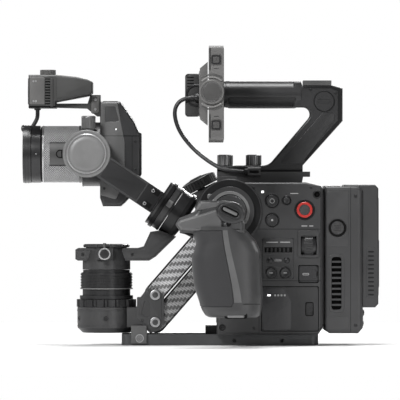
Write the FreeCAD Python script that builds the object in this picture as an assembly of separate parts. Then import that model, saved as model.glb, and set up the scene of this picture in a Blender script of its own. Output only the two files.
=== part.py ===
import FreeCAD
import Part
import math
import os

# A cinema camera rig. A camera body carries a battery behind, a top handle with a monitor above and a hand
# grip on each side. A sprung parallelogram arm in front carries a three-axis gimbal with the lens head.
#
# Frame: millimetres, +Z up, the lens looks along -X and the operator's side is -Y. The origin is the centre
# of the tripod thread in the underside of the base plate.

V = FreeCAD.Vector
X_AXIS = V(1, 0, 0)
Y_AXIS = V(0, 1, 0)
Z_AXIS = V(0, 0, 1)

# ------------------------------------------------------------------ driving dimensions
RUN = 0.08                  # radial clearance of a shaft that turns
GAP = 0.4                   # clearance between pieces that move past each other

PLATE_FRONT = -111.0
PLATE_REAR = 73.0
PLATE_HALF = 30.0
PLATE_TOP = 10.0
TRIPOD_R = 4.0              # core of a 3/8 inch thread
QUARTER_R = 2.6             # core of a 1/4 inch thread
QUARTER_X = (-18.0, 18.0)
TRIPOD_DEPTH = 8.0
QUARTER_DEPTH = (7.0, 6.0)   # front and rear
SIDE_HOLE_R = 1.9
SIDE_HOLES_X = (-5.5, 39.0)
SIDE_HOLE_Z = 4.1

RAIL_X = (-32.6, 19.7)
RAIL_TOP = 17.4
RAIL_HALF = (20.0, 23.0)    # half width at the foot and at the top
SADDLE_X = (-102.0, -87.6)
SADDLE_IN = 25.4
SADDLE_OUT = 34.0
SADDLE_TOP = 18.2
SADDLE_SCREW = (-94.0, 6.3)     # X and Z
CUP_ROOM_X = -97.6          # the cup's clearance cut ends here

BODY_FRONT = -22.0
BODY_REAR = 77.0
BODY_HALF = 45.0
BODY_TOP = 152.0
WALL = 4.0
SIDE_WALL = 7.0
MOUTH_HALF = 28.0           # the opening that the arm moves in
MOUTH_Z = (55.0, 148.0)
FRAME_HALF = 30.0           # half width of the frame inside the body
LOW_HOLE = (-16.8, 16.6, 3.1)           # X, Z and radius, on both sides
SOCKET_HOLE = (71.4, 140.7, 2.8)
SOCKET_PANEL = ((24.0, 70.0), (22.0, 60.0))     # recess on the far side, X and Z
ROUND_SOCKETS = ((33.0, 41.0, 7.0), (57.0, 41.0, 7.0), (60.0, 82.0, 3.4), (60.0, 98.0, 3.4))
FLAT_SOCKET = ((30.0, 48.0), (78.0, 86.0))

LINK_REAR = (-17.0, 118.6)  # upper link's pivot on the body, X and Z
LINK_FRONT = (-79.5, 46.7)  # upper link's pivot on the pan base
PIVOT_DROP = 25.6           # lower pivots below the upper ones
PIN_R = 4.0
LINK_HALF = 17.5
LINK_OUTER = 10.5           # a link's edge away from its partner
LINK_INNER = 7.9            # a link's edge towards its partner
CHEEK_IN = 18.4
CHEEK_OUT = 24.0

PAN_X = -125.5
CUP_R = 27.3
CUP_TOP = 35.0
SPIGOT_R = 20.0
LOCK_RING_TOP = 42.3
COLUMN_FOOT = 42.7
COLUMN_TOP = 69.9
PAN_CUP_TOP = 93.2
PAN_SHAFT_R = 8.0
PAN_ARM_HALF = 13.0
PAN_KNOB = (-126.8, 85.1)   # pan lock knob, X and Z
PAN_KNOB_R = 5.6
PAN_KNOB_SHAFT_R = 2.5

TILT_X = -143.0
TILT_Z = 178.5
ROLL_PITCH = 33.7           # degrees that the roll axis drops towards the rear
ROLL_SEAM = 94.4            # roll joint, along the roll axis from the tilt axis
ROLL_R = 23.0
ROLL_DRUM = 15.6            # length of the roll motor
ROLL_SHAFT_R = 6.0
ARM_W = (-12.6, 9.7)        # the roll arm's edges, below and above the roll axis
ARM_Y = (-60.0, -46.0)
ARM_CROSS = 63.0            # where the arm turns in behind the head
TILT_R = 22.0
TILT_BORE_R = 17.5
TILT_Y = (-60.0, -38.6)
TILT_KNOB = (-141.4, -49.5)  # tilt lock knob, X and Y
TILT_KNOB_Z = 202.0
KNOB_SHAFT_R = 2.0

HEAD_HALF = 34.0
HEAD_FRONT = -131.0
LENS_R = 26.5
LENS_SLEEVE_R = 24.0
LENS_BORE_R = 21.5
FILTER_R = 22.6
HOOD_R = 27.0
HOOD_X = (-203.0, -196.0)
FOCUS_X = (-195.6, -186.8)
BARREL_X = (-184.6, -147.6)
RANGE_X = (-198.1, -172.5)
RANGE_Z = (221.6, 252.7)
RANGE_HALF = 24.0
RANGE_KNOB_X = -180.5
RANGE_EYES = (-14.0, 0.0, 14.0)         # windows, across the rig

GRIP_X = -10.0              # rosette axis of the hand grips
GRIP_Z = 125.0
GRIP_IN = 97.0
GRIP_OUT = 143.0
GRIP_ARM_R = 15.0
ROSETTE_FACE = 53.0
ROSETTE_R = (30.0, 23.0, 19.0, 16.0)    # boss, disc, ring and toothed face
ROSETTE_Y = (-47.4, -50.4, -51.0)       # faces of the boss, the disc and the ring
ROSETTE_TEETH = 24
GRIP_HEAD_R = 16.0
LOCK_SCREW_R = 3.0
WHEEL_SEAT = (-27.0, 120.0, 128.0)      # foot of the focus wheel's axis on the right grip
WHEEL_TILT = 27.3           # degrees that the focus wheel's axis leans forward

HANDLE_R = 12.3
HANDLE_Z = 234.7
HANDLE_HALF = 11.0
HANDLE_NOSE = -16.0
HANDLE_CAP = (78.8, 228.1, 9.9)         # X, Z and radius of the strut's cap disc
FOOT = (162.1, 167.9)
MOUNT_HALF = 20.0
SCREW_X = (-14.0, 12.8)
SCREW_R = 7.4
SCREW_TOP = 177.6
SHOE_X = (59.0, 85.7)
SHOE_Z = (243.0, 247.7)

MONITOR_X = (-29.5, -16.0)
MONITOR_Y = (-148.0, -16.5)
MONITOR_Z = (189.3, 276.5)
MONITOR_KEYS = (204.0, 263.6)
HUB = (-26.8, 234.2)        # monitor hinge, X and Z
HUB_PIN_R = 5.0
HUB_PIN_END = -30.0
NOSE_HALF = 8.0
NOSE_FRONT = -51.6
CABLE_D = 3.8

REAR_X = (78.3, 114.4)
REAR_Z = (11.0, 148.7)
REAR_HALF = 40.0
BATTERY_X = (97.0, 129.0)
BATTERY_HALF = 36.0
BATTERY_Z = (35.2, 149.8)
RELEASE = (90.6, 109.4)     # battery release button, X and Z
RELEASE_R = 6.1
FAN_Z = 58.0
FAN_R = 24.0
FAN_X = (81.0, 90.0)
FAN_BLADES = 15
VENT_X = (84.6, 94.9)
VENT_Z = (32.6, 82.9)
LOUVRES = 9

BUTTON_PROUD = 1.6
BUTTON_LENGTH = 5.0
POCKET_DEPTH = 6.2
BUTTONS = {                 # name: X, Z and radius on the body's left face
    "power_button": (29.6, 134.6, 5.6),
    "mode_button": (29.6, 116.7, 5.6),
    "lock_button": (43.2, 135.1, 3.3),
    "record_button": (59.9, 126.3, 7.5),
    "front_key": (28.7, 67.6, 4.6),
    "rear_key": (41.8, 67.6, 4.6),
}
PANEL_X = (20.7, 49.8)
PANEL_Z = (62.2, 99.8)
WHEEL_X = (57.0, 70.5)
WHEEL_Z = 93.0
WHEEL_R = 9.6
WHEEL_Y = -41.0
WHEEL_AXLE_R = 1.5
WHEEL_GROOVES = 20
DOOR_X = (19.7, 72.8)
DOOR_Z = (13.3, 54.7)
DOOR_THICK = 2.8
COVER_X = (54.5, 72.4)
COVER_Z = (58.5, 74.4)
LATCH_X = (61.1, 67.7)
LATCH_Z = (27.9, 39.7)


# ------------------------------------------------------------------ shape helpers
def box(x_range, y_range, z_range):
    """A block that fills three ranges."""
    size = [high - low for low, high in (x_range, y_range, z_range)]
    return Part.makeBox(*size, V(x_range[0], y_range[0], z_range[0]))


def both_sides(half):
    """The range that a half width spans about the centre plane."""
    return (-half, half)


def rod(start, axis, radius, length):
    """A cylinder from start along axis."""
    return Part.makeCylinder(radius, length, V(*start), axis)


def rod_y(x, z, radius, y_range):
    """A cylinder across the rig."""
    return rod((x, y_range[0], z), Y_AXIS, radius, y_range[1] - y_range[0])


def rod_x(y, z, radius, x_range):
    """A cylinder along the rig."""
    return rod((x_range[0], y, z), X_AXIS, radius, x_range[1] - x_range[0])


def rod_z(x, y, radius, z_range):
    """An upright cylinder."""
    return rod((x, y, z_range[0]), Z_AXIS, radius, z_range[1] - z_range[0])


def along_y(outline, y_range):
    """An X-Z outline drawn out across the rig."""
    points = [V(x, y_range[0], z) for x, z in outline]
    face = Part.Face(Part.makePolygon(points + [points[0]]))
    return face.extrude(V(0, y_range[1] - y_range[0], 0))


def along_x(outline, x_range):
    """A Y-Z outline drawn out along the rig."""
    points = [V(x_range[0], y, z) for y, z in outline]
    face = Part.Face(Part.makePolygon(points + [points[0]]))
    return face.extrude(V(x_range[1] - x_range[0], 0, 0))


def turned(profile, x=0, y=0, z=0):
    """A (radius, height) outline turned about an upright axis."""
    points = [V(r, 0, h) for r, h in profile]
    solid = Part.Face(Part.makePolygon(points + [points[0]])).revolve(V(0, 0, 0), Z_AXIS, 360)
    return solid.translated(V(x, y, z))


def placed(shape, origin, turn_axis, degrees):
    """The shape turned about the origin's axis and then moved to origin."""
    move = FreeCAD.Placement(V(*origin), FreeCAD.Rotation(turn_axis, degrees))
    copy = shape.copy()
    copy.Placement = move.multiply(shape.Placement)
    return copy


def on_roll_axis(shape):
    """A shape drawn with the roll axis along X and the tilt axis at the origin, moved into place."""
    return placed(shape, (TILT_X, 0, TILT_Z), Y_AXIS, ROLL_PITCH)


def fused(first, *others):
    """One solid made of pieces that run into each other."""
    return first.multiFuse(list(others)).removeSplitter()


def minus(shape, *tools):
    """The shape with every tool cut away."""
    return shape.cut(list(tools))


def group(*solids):
    """Separate solids that share a node."""
    return Part.makeCompound(list(solids))


def mirrored(shape):
    """The shape on the other side of the centre plane."""
    return shape.mirror(V(0, 0, 0), Y_AXIS)


def straight_along(edge, axis):
    """True for a straight edge along axis."""
    return edge.Curve.TypeId == "Part::GeomLine" and abs(abs(edge.Curve.Direction.dot(axis)) - 1) < 1e-6


def rounded(shape, radius, *axes):
    """The shape with its straight edges along the axes rounded."""
    edges = [e for e in shape.Edges if any(straight_along(e, axis) for axis in axes)]
    return shape.makeFillet(radius, edges)


def rounded_at(shape, radius, places):
    """The shape with its edges across the rig rounded where they pass the given X-Z places."""
    def near(edge):
        start = edge.Vertexes[0].Point
        return any(math.hypot(start.x - x, start.z - z) < 0.05 for x, z in places)
    edges = [e for e in shape.Edges if straight_along(e, Y_AXIS) and near(e)]
    return shape.makeFillet(radius, edges)


def eased(shape, radius, y_faces):
    """The shape with the edges round its faces at the given Y places rounded."""
    edges = []
    for edge in shape.Edges:
        if any(all(abs(v.Point.y - y) < 1e-4 for v in edge.Vertexes) for y in y_faces):
            edges.append(edge)
    return shape.makeFillet(radius, edges)


def grooved(radius, height, count, groove_r):
    """A round knob on the origin with grooves down its side."""
    grooves = []
    for i in range(count):
        angle = 2 * math.pi * i / count
        place = (radius * math.cos(angle), radius * math.sin(angle), 0)
        grooves.append(rod(place, Z_AXIS, groove_r, height))
    return minus(Part.makeCylinder(radius, height), *grooves)


# ------------------------------------------------------------------ base
def base_plate():
    """The long plate that a tripod or a stand takes, threaded underneath."""
    plate = rounded(box((PLATE_FRONT, PLATE_REAR), both_sides(PLATE_HALF), (0, PLATE_TOP)), 6, Z_AXIS)
    holes = [rod_z(0, 0, TRIPOD_R, (0, TRIPOD_DEPTH))]
    for x, depth in zip(QUARTER_X, QUARTER_DEPTH):
        holes.append(rod_z(x, 0, QUARTER_R, (0, depth)))
    for x in SIDE_HOLES_X:
        holes.append(rod_y(x, SIDE_HOLE_Z, SIDE_HOLE_R, (-PLATE_HALF, -PLATE_HALF + 8)))
    return minus(plate, *holes)


def dovetail_rail():
    """The dovetail between the plate and the body."""
    foot, top = RAIL_HALF
    return along_x([(-foot, PLATE_TOP), (foot, PLATE_TOP), (top, RAIL_TOP), (-top, RAIL_TOP)], RAIL_X)


def parking_saddle():
    """The fork that holds the arm's bracket when the arm is down."""
    outline = [
        (-SADDLE_OUT, 1.5), (-PLATE_HALF, 1.5), (-PLATE_HALF, PLATE_TOP), (PLATE_HALF, PLATE_TOP),
        (PLATE_HALF, 1.5), (SADDLE_OUT, 1.5), (SADDLE_OUT, SADDLE_TOP), (SADDLE_IN, SADDLE_TOP),
        (SADDLE_IN, 12.4), (-SADDLE_IN, 12.4), (-SADDLE_IN, SADDLE_TOP), (-SADDLE_OUT, SADDLE_TOP),
    ]
    block = along_x(outline, SADDLE_X)
    cup_room = box((SADDLE_X[0], CUP_ROOM_X), both_sides(SADDLE_IN), (PLATE_TOP, SADDLE_TOP))
    screw = rod_y(*SADDLE_SCREW, 4.0, (-SADDLE_OUT, -SADDLE_OUT + 2.4))
    return minus(block, cup_room, screw)


# ------------------------------------------------------------------ body
def pivots(upper):
    """The upper and the lower pivot of one end of the arm."""
    x, z = upper
    return [(x, z), (x, z - PIVOT_DROP)]


def chassis():
    """The frame inside the body, with the fork that holds the arm's rear pins."""
    fork = []
    for side in (-1, 1):
        y_range = sorted((side * CHEEK_IN, side * CHEEK_OUT))
        web = box((LINK_REAR[0], -3.0), y_range, (LINK_REAR[1] - PIVOT_DROP - 8, LINK_REAR[1] + 8))
        ears = [rod_y(x, z, 8.0, y_range) for x, z in pivots(LINK_REAR)]
        fork += [web] + ears
    wall = box((-4, 3), both_sides(FRAME_HALF), (RAIL_TOP, 148))
    floor = box((-18, BODY_REAR - WALL), both_sides(FRAME_HALF), (RAIL_TOP, 24))
    roof = box((-4, BODY_REAR - WALL), both_sides(FRAME_HALF), (142, 148))
    rear = box((68, BODY_REAR - WALL), both_sides(FRAME_HALF), (RAIL_TOP, 148))
    frame = fused(wall, floor, roof, rear, *fork)
    bores = [rod_y(x, z, PIN_R, both_sides(CHEEK_OUT + 1)) for x, z in pivots(LINK_REAR)]
    windows = [box((67, 74), both_sides(18), (40, 130)), box((20, 60), both_sides(20), (141, 149))]
    return minus(frame, *bores, *windows)


def main_board():
    """The image processing board on its stand-offs, with its heat spreader."""
    board = box((12, 13.6), both_sides(28), (32, 136))
    spreader = box((13.6, 19), both_sides(18), (60, 110))
    posts = [rod_x(y, z, 2.4, (3, 12)) for y in (-24, 24) for z in (36, 132)]
    return fused(board, spreader, *posts)


def body_shell_half():
    """The left half of the body's casing, before its side is worked."""
    outline = [
        (BODY_FRONT, PLATE_TOP), (72.4, PLATE_TOP), (BODY_REAR, 16.3), (BODY_REAR, 146),
        (75.2, 148.6), (61, BODY_TOP), (BODY_FRONT, BODY_TOP),
    ]
    outer = eased(along_y(outline, both_sides(BODY_HALF)), 3.0, (-BODY_HALF, BODY_HALF))
    inside = box((BODY_FRONT + WALL, BODY_REAR - WALL), both_sides(BODY_HALF - SIDE_WALL),
                 (PLATE_TOP + WALL, BODY_TOP - WALL))
    mouth = box((BODY_FRONT - 1, BODY_FRONT + WALL + 1), both_sides(MOUTH_HALF), MOUTH_Z)
    channel = box((BODY_FRONT - 1, RAIL_X[1] + 0.3), both_sides(RAIL_HALF[1]), (PLATE_TOP - 1, RAIL_TOP))
    half = box((BODY_FRONT - 1, BODY_REAR + 1), (-BODY_HALF - 1, 0), (0, BODY_TOP + 1))
    return minus(outer, inside, mouth, channel).common(half)


def button_pocket(name):
    """The blind hole that a button moves in."""
    x, z, radius = BUTTONS[name]
    return rod_y(x, z, radius + 0.25, (-BODY_HALF - 2, -BODY_HALF + POCKET_DEPTH))


def left_shell():
    """The operator's side of the casing, with the pockets for its controls and doors."""
    face = -BODY_HALF
    inner = face + SIDE_WALL
    backing = [
        box((52, 73), (inner, -30.2), (80, 106)),
        box((20, 73), (inner, -31.0), (14, 54.5)),
    ]
    wheel_frame = rounded(box((53.6, 73.3), (face - 1.4, inner), (82.0, 107.3)), 3.0, Y_AXIS)
    shell = fused(body_shell_half(), wheel_frame, *backing)
    cuts = [button_pocket(name) for name in BUTTONS]
    cuts += [
        box(PANEL_X, (face - 1, face + 1.6), PANEL_Z),
        rod_x(WHEEL_Y, WHEEL_Z, WHEEL_R + 0.5, (WHEEL_X[0] - GAP, WHEEL_X[1] + GAP)),
        rod_x(WHEEL_Y, WHEEL_Z, WHEEL_AXLE_R + RUN, (WHEEL_X[0] - 2.4, WHEEL_X[1] + 2.0)),
        box(DOOR_X, (face - 1, face + DOOR_THICK + 0.6), DOOR_Z),
        box((27, 58), (face, face + 12.5), (20, 47)),
        box(COVER_X, (face - 1, face + DOOR_THICK + 0.6), COVER_Z),
        box((61, 70), (face, face + 6), (62.5, 70.5)),
        rod_y(*SOCKET_HOLE, (face - 1, face + 5)),
        rod_y(*LOW_HOLE, (face - 1, face + 5)),
    ]
    return minus(shell, *cuts)


def right_shell():
    """The far side of the casing, with its sockets."""
    face = BODY_HALF
    panel_x, panel_z = SOCKET_PANEL
    flat_x, flat_z = FLAT_SOCKET
    cuts = [
        box(panel_x, (face - 2.5, face + 1), panel_z),
        box(flat_x, (face - 5, face + 1), flat_z),
        rod_y(*LOW_HOLE, (face - 5, face + 1)),
    ]
    for socket in ROUND_SOCKETS:
        cuts.append(rod_y(*socket, (face - 6, face + 1)))
    return minus(mirrored(body_shell_half()), *cuts)


def cable_socket_range():
    """Where the monitor cable's lower socket stands along the rig."""
    return (7.0, 19.0)


def top_mount_plate():
    """The plate on the body that takes the handle, with the monitor cable's socket on its left side."""
    outline = [
        (BODY_FRONT + 0.4, BODY_TOP), (58, BODY_TOP), (59, 157.3), (65.5, 157.3), (65.5, FOOT[0]),
        (BODY_FRONT + 0.4, FOOT[0]),
    ]
    plate = along_y(outline, both_sides(MOUNT_HALF))
    socket = box(cable_socket_range(), (-29.7, -MOUNT_HALF + 1), (157.6, 166.2))
    threads = [rod_z(x, 0, 3.0 + RUN, (BODY_TOP + 1.5, FOOT[0] + 1)) for x in SCREW_X]
    return minus(fused(plate, rounded(socket, 2.0, X_AXIS)), *threads)


def control_panel():
    """The panel of keys and switches on the left face."""
    face = -BODY_HALF
    panel = rounded(box(PANEL_X, (face - 0.6, face + 1.6), PANEL_Z), 2.4, Y_AXIS)
    cuts = [
        box((22.6, 48.4), (face - 1, face + 0.4), (86.7, 91.4)),
        button_pocket("front_key"),
        button_pocket("rear_key"),
    ]
    return minus(panel, *cuts)


def rosette():
    """The boss on the left casing and the toothed disc that the left grip locks to."""
    boss_face, disc_face, ring_face = ROSETTE_Y
    boss = eased(rod_y(GRIP_X, GRIP_Z, ROSETTE_R[0], (boss_face, -BODY_HALF)), 1.0, (boss_face,))
    disc = eased(rod_y(GRIP_X, GRIP_Z, ROSETTE_R[1], (disc_face, boss_face)), 0.8, (disc_face,))
    ring = rod_y(GRIP_X, GRIP_Z, ROSETTE_R[2], (ring_face, disc_face))
    core = rod_y(GRIP_X, GRIP_Z, ROSETTE_R[3], (-ROSETTE_FACE + 0.8, ring_face))
    teeth = []
    for i in range(ROSETTE_TEETH):
        tooth = box((9.0, ROSETTE_R[3] - 0.4), (-ROSETTE_FACE, -ROSETTE_FACE + 1), (-0.7, 0.7))
        teeth.append(placed(tooth, (GRIP_X, 0, GRIP_Z), Y_AXIS, i * 360 / ROSETTE_TEETH))
    thread = rod_y(GRIP_X, GRIP_Z, LOCK_SCREW_R + RUN, (-ROSETTE_FACE - 1, -BODY_HALF - 0.5))
    return minus(fused(boss, disc, ring, core, *teeth), thread)


def grip_rosettes():
    """The rosettes of both sides."""
    return group(rosette(), mirrored(rosette()))


def body_fasteners():
    """The arm's rear pins, the saddle's screws and the plate's screws."""
    pins = [rod_y(x, z, PIN_R, both_sides(CHEEK_OUT)) for x, z in pivots(LINK_REAR)]
    screw = rod_y(*SADDLE_SCREW, 3.9, (-SADDLE_OUT - 0.2, -SADDLE_OUT + 2.4))
    socket = rod_y(*SADDLE_SCREW, 1.6, (-SADDLE_OUT - 0.2, -SADDLE_OUT + 1.4))
    return group(*pins, minus(screw, socket))


# ------------------------------------------------------------------ controls on the body
def button(name):
    """A round button with a dished top."""
    x, z, radius = BUTTONS[name]
    face = -BODY_HALF - BUTTON_PROUD
    cap = rod_y(x, z, radius, (face, face + BUTTON_LENGTH))
    cap = eased(cap, 0.5, (face,))
    dish_r = 4 * radius
    dish = Part.makeSphere(dish_r, V(x, face - dish_r + 0.35, z))
    return minus(cap, dish)


def multi_wheel():
    """The crowned control wheel, on an axle along the rig."""
    middle = sum(WHEEL_X) / 2
    half = (WHEEL_X[1] - WHEEL_X[0]) / 2
    profile = [
        (0, -half), (WHEEL_R - 2.2, -half), (WHEEL_R, -3.4), (WHEEL_R, 3.4), (WHEEL_R - 2.2, half), (0, half),
    ]
    grooves = []
    for i in range(WHEEL_GROOVES):
        angle = 2 * math.pi * i / WHEEL_GROOVES
        place = ((WHEEL_R + 0.3) * math.cos(angle), (WHEEL_R + 0.3) * math.sin(angle), -half)
        grooves.append(rod(place, Z_AXIS, 0.8, 2 * half))
    wheel = placed(minus(turned(profile), *grooves), (middle, WHEEL_Y, WHEEL_Z), Y_AXIS, 90)
    axle = rod_x(WHEEL_Y, WHEEL_Z, WHEEL_AXLE_R, (WHEEL_X[0] - 2.2, WHEEL_X[1] + 1.8))
    return fused(wheel, axle)


def media_door():
    """The door over the memory card bay, with the track of its latch."""
    face = -BODY_HALF
    x_range = (DOOR_X[0] + GAP, DOOR_X[1] - GAP)
    slab = box(x_range, (face, face + DOOR_THICK), (DOOR_Z[0] + GAP, DOOR_Z[1] - GAP))
    track = box(LATCH_X, (face - 1, face + 1.7), LATCH_Z)
    return minus(rounded(slab, 2.0, Y_AXIS), rounded(track, 1.5, Y_AXIS))


def door_latch():
    """The sliding latch of the card door."""
    face = -BODY_HALF
    x_range = (LATCH_X[0] + 0.3, LATCH_X[1] - 0.3)
    slider = box(x_range, (face - 0.7, face + 1.5), (LATCH_Z[0] + 3.6, LATCH_Z[1] - 0.3))
    grooves = [box(LATCH_X, (face - 1, face - 0.3), (z, z + 0.7)) for z in (33.4, 35.2, 37.0)]
    return minus(rounded(slider, 1.2, Y_AXIS), *grooves)


def usb_cover():
    """The rubber cover of the data socket."""
    face = -BODY_HALF
    x_range = (COVER_X[0] + GAP, COVER_X[1] - GAP)
    slab = box(x_range, (face, face + DOOR_THICK - 0.4), (COVER_Z[0] + GAP, COVER_Z[1] - GAP))
    notch = rod_y(x_range[1], sum(COVER_Z) / 2, 2.2, (face - 1, face + 1.2))
    return minus(rounded(slab, 2.0, Y_AXIS), notch)


def thumbscrew(x):
    """A fluted screw that holds the handle down."""
    knob = grooved(SCREW_R, SCREW_TOP - FOOT[1] - 0.3, 12, 1.0).translated(V(x, 0, FOOT[1] + 0.3))
    return fused(knob, rod_z(x, 0, 3.0, (BODY_TOP + 2.0, FOOT[1] + 1)))


# ------------------------------------------------------------------ rear housing and battery
def rear_housing():
    """The housing behind the body: fan duct in front, battery bay behind."""
    outline = [
        (REAR_X[0], 14), (83.2, REAR_Z[0]), (110, REAR_Z[0]), (REAR_X[1], 16), (REAR_X[1], 144.5),
        (110.4, REAR_Z[1]), (REAR_X[0], REAR_Z[1]),
    ]
    block = eased(along_y(outline, both_sides(REAR_HALF)), 4.5, (-REAR_HALF, REAR_HALF))
    neck = box((BODY_REAR, REAR_X[0]), both_sides(34), (20, 142))
    bay = box((BATTERY_X[0] - GAP, REAR_X[1] + 1), both_sides(BATTERY_HALF + GAP),
              (BATTERY_Z[0], REAR_Z[1] + 1))
    duct = box((BODY_REAR - 1, 93), both_sides(33), (28, 90))
    board_room = box((BODY_REAR - 1, 93), both_sides(30), (97, 138))
    release = rod_y(*RELEASE, RELEASE_R + 0.25, (-REAR_HALF - 1, -REAR_HALF + 3.4))
    tools = [bay, duct, board_room, release]
    louvres = []
    for side in (-1, 1):
        y_range = sorted((side * 32, side * (REAR_HALF + 1)))
        tools.append(box(VENT_X, y_range, VENT_Z))
        bar_y = sorted((side * 37, side * (REAR_HALF - 0.6)))
        for i in range(LOUVRES):
            z = VENT_Z[0] + (VENT_Z[1] - VENT_Z[0]) * (i + 1) / (LOUVRES + 1)
            louvres.append(box((VENT_X[0] - 0.6, VENT_X[1] + 0.6), bar_y, (z - 0.9, z + 0.9)))
    return fused(minus(fused(block, neck), *tools), *louvres)


def cooling_fan():
    """The blower wheel in the duct."""
    front, rear = FAN_X
    hub = rod_x(0, FAN_Z, 8.0, FAN_X)
    rim = minus(rod_x(0, FAN_Z, FAN_R, (front, front + 1.4)), rod_x(0, FAN_Z, 5.0, (front - 1, front + 2)))
    blades = []
    for i in range(FAN_BLADES):
        blade = box(FAN_X, (7, FAN_R), (-0.5, 0.5))
        blades.append(placed(blade, (0, 0, FAN_Z), X_AXIS, i * 360 / FAN_BLADES))
    axle = rod_x(0, FAN_Z, 2.0, (rear, rear + 2.9))
    return fused(hub, rim, axle, *blades)


def battery_release():
    """The round button that frees the battery."""
    face = -REAR_HALF - 1.2
    cap = eased(rod_y(*RELEASE, RELEASE_R, (face, face + 3.2)), 0.5, (face,))
    return minus(cap, rod_y(*RELEASE, 4.6, (face - 1, face + 0.4)))


def battery():
    """The battery pack, which slides up out of its bay."""
    outline = [
        (BATTERY_X[0], BATTERY_Z[0]), (126, BATTERY_Z[0]), (BATTERY_X[1], 38.5), (BATTERY_X[1], 146.4),
        (126, BATTERY_Z[1]), (BATTERY_X[0], BATTERY_Z[1]),
    ]
    return eased(along_y(outline, both_sides(BATTERY_HALF)), 2.0, (-BATTERY_HALF, BATTERY_HALF))


# ------------------------------------------------------------------ handle and monitor
def top_handle():
    """The handle: a foot on the mount plate, a sloping strut and a round grip."""
    outline = [
        (BODY_FRONT + 0.4, FOOT[0]), (58.8, FOOT[0]), (58.8, FOOT[1]), (96.2, 209.6), (96.2, 240.2),
        (87, SHOE_Z[0]), (58.4, SHOE_Z[0]), (57.0, 246.4), (50, 246.4), (50, 222.4), (72.8, 222.4),
        (26.7, FOOT[1]), (BODY_FRONT + 0.4, FOOT[1]),
    ]
    frame = along_y(outline, both_sides(HANDLE_HALF))
    frame = rounded_at(frame, 6.4, [(72.8, 222.4)])
    frame = rounded_at(frame, 12.0, [(26.7, FOOT[1])])
    frame = eased(frame, 2.0, (-HANDLE_HALF, HANDLE_HALF))
    grip = rod_x(0, HANDLE_Z, HANDLE_R, (HANDLE_NOSE, 57))
    caps = rod_y(*HANDLE_CAP, both_sides(HANDLE_HALF + 0.8))
    slots = []
    for side in (-1, 1):
        y_range = sorted((side * HANDLE_HALF, side * (HANDLE_HALF + 1)))
        slots.append(box((72.8, 84.8), y_range, (226, 230.2)))
    holes = [rod_z(x, 0, 3.0 + RUN, (FOOT[0] - 1, FOOT[1] + 1)) for x in SCREW_X]
    return minus(fused(frame, grip, caps), *slots, *holes)


def accessory_shoe():
    """The slide on top of the handle for a light or a microphone."""
    low, high = SHOE_Z
    outline = [
        (-11, low), (11, low), (11, high), (6.3, high), (6.3, high - 1.4), (9.35, high - 1.4),
        (9.35, low + 1.2), (-9.35, low + 1.2), (-9.35, high - 1.4), (-6.3, high - 1.4), (-6.3, high),
        (-11, high),
    ]
    return along_x(outline, SHOE_X)


def monitor_mount():
    """The nose in front of the handle with the monitor's hinge pin and the cable's upper gland."""
    neck = box((NOSE_FRONT + 4, HANDLE_NOSE), both_sides(NOSE_HALF), (223.5, 246))
    head = rounded(box((NOSE_FRONT, -37.7), both_sides(NOSE_HALF), (213.8, 254)), 3.0, Y_AXIS)
    washer = rod_y(HUB[0], HUB[1], 10.0, (MONITOR_Y[1] + 0.4, -NOSE_HALF + 1))
    pin = rod_y(HUB[0], HUB[1], HUB_PIN_R, (HUB_PIN_END, -NOSE_HALF))
    gland = rod_x(CABLE_ROUTE[0][1], CABLE_ROUTE[0][2], 3.2, (CABLE_ROUTE[0][0], -37.2))
    return fused(neck, head, washer, pin, gland)


def monitor_housing():
    """The monitor's case, with a bulge behind and the hinge's hub cap on its outer side."""
    low, high = MONITOR_Z
    slab = box(MONITOR_X, MONITOR_Y, MONITOR_Z)
    slab = rounded(slab, 4.0, X_AXIS)
    bulge = along_y([(-30.5, 205), (-37.7, 211), (-37.7, 256), (-30.5, 262)], (-140, -24))
    cap = rod_y(HUB[0], HUB[1], 10.6, (-150, -139))
    screen_bay = box((MONITOR_X[1] - 1.4, MONITOR_X[1] + 1), (-144.2, -20.3), (low + 8.6, high - 8.6))
    hinge_bore = rod_y(HUB[0], HUB[1], HUB_PIN_R + RUN, (HUB_PIN_END - 0.4, MONITOR_Y[1] + 1))
    keys = [box((-27, -18.6), (-149, -143.6), (z - 4.2, z + 4.2)) for z in MONITOR_KEYS]
    return minus(fused(slab, bulge, cap), screen_bay, hinge_bore, *keys)


def monitor_screen():
    """The monitor's glass panel."""
    low, high = MONITOR_Z
    return box((MONITOR_X[1] - 1.4, MONITOR_X[1] - 0.2), (-144.2, -20.3), (low + 8.6, high - 8.6))


def monitor_key(z):
    """A key on the monitor's outer edge."""
    return rounded(box((-26.7, -18.9), (-149.0, -145.0), (z - 3.9, z + 3.9)), 1.6, Y_AXIS)


# ------------------------------------------------------------------ monitor cable
CABLE_ROUTE = [
    (-40.0, -11.0, 231.8),
    (-53.5, -11.0, 231.8),
    (-62.5, -11.2, 221.0),
    (-59.0, -11.6, 203.0),
    (-47.0, -12.5, 186.0),
    (-30.0, -19.5, 171.5),
    (-12.0, -25.4, 161.9),
    (7.0, -25.4, 161.9),
]


def cable_path(route):
    """Straight runs joined by tangent arcs, and the arcs' radii."""
    points = [V(*p) for p in route]
    edges = []
    radii = []
    start = points[0]
    for before, corner, after in zip(points, points[1:], points[2:]):
        to_before = (before - corner).normalize()
        to_after = (after - corner).normalize()
        turn = math.pi - to_before.getAngle(to_after)
        reach = 0.45 * min((before - corner).Length, (after - corner).Length)
        radius = reach / math.tan(turn / 2)
        radii.append(radius)
        into = corner + to_before * reach
        out = corner + to_after * reach
        inward = (to_before + to_after).normalize()
        middle = corner + inward * (radius / math.cos(turn / 2) - radius)
        edges.append(Part.LineSegment(start, into).toShape())
        edges.append(Part.Arc(into, middle, out).toShape())
        start = out
    edges.append(Part.LineSegment(start, points[-1]).toShape())
    return Part.Wire(edges), radii


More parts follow.
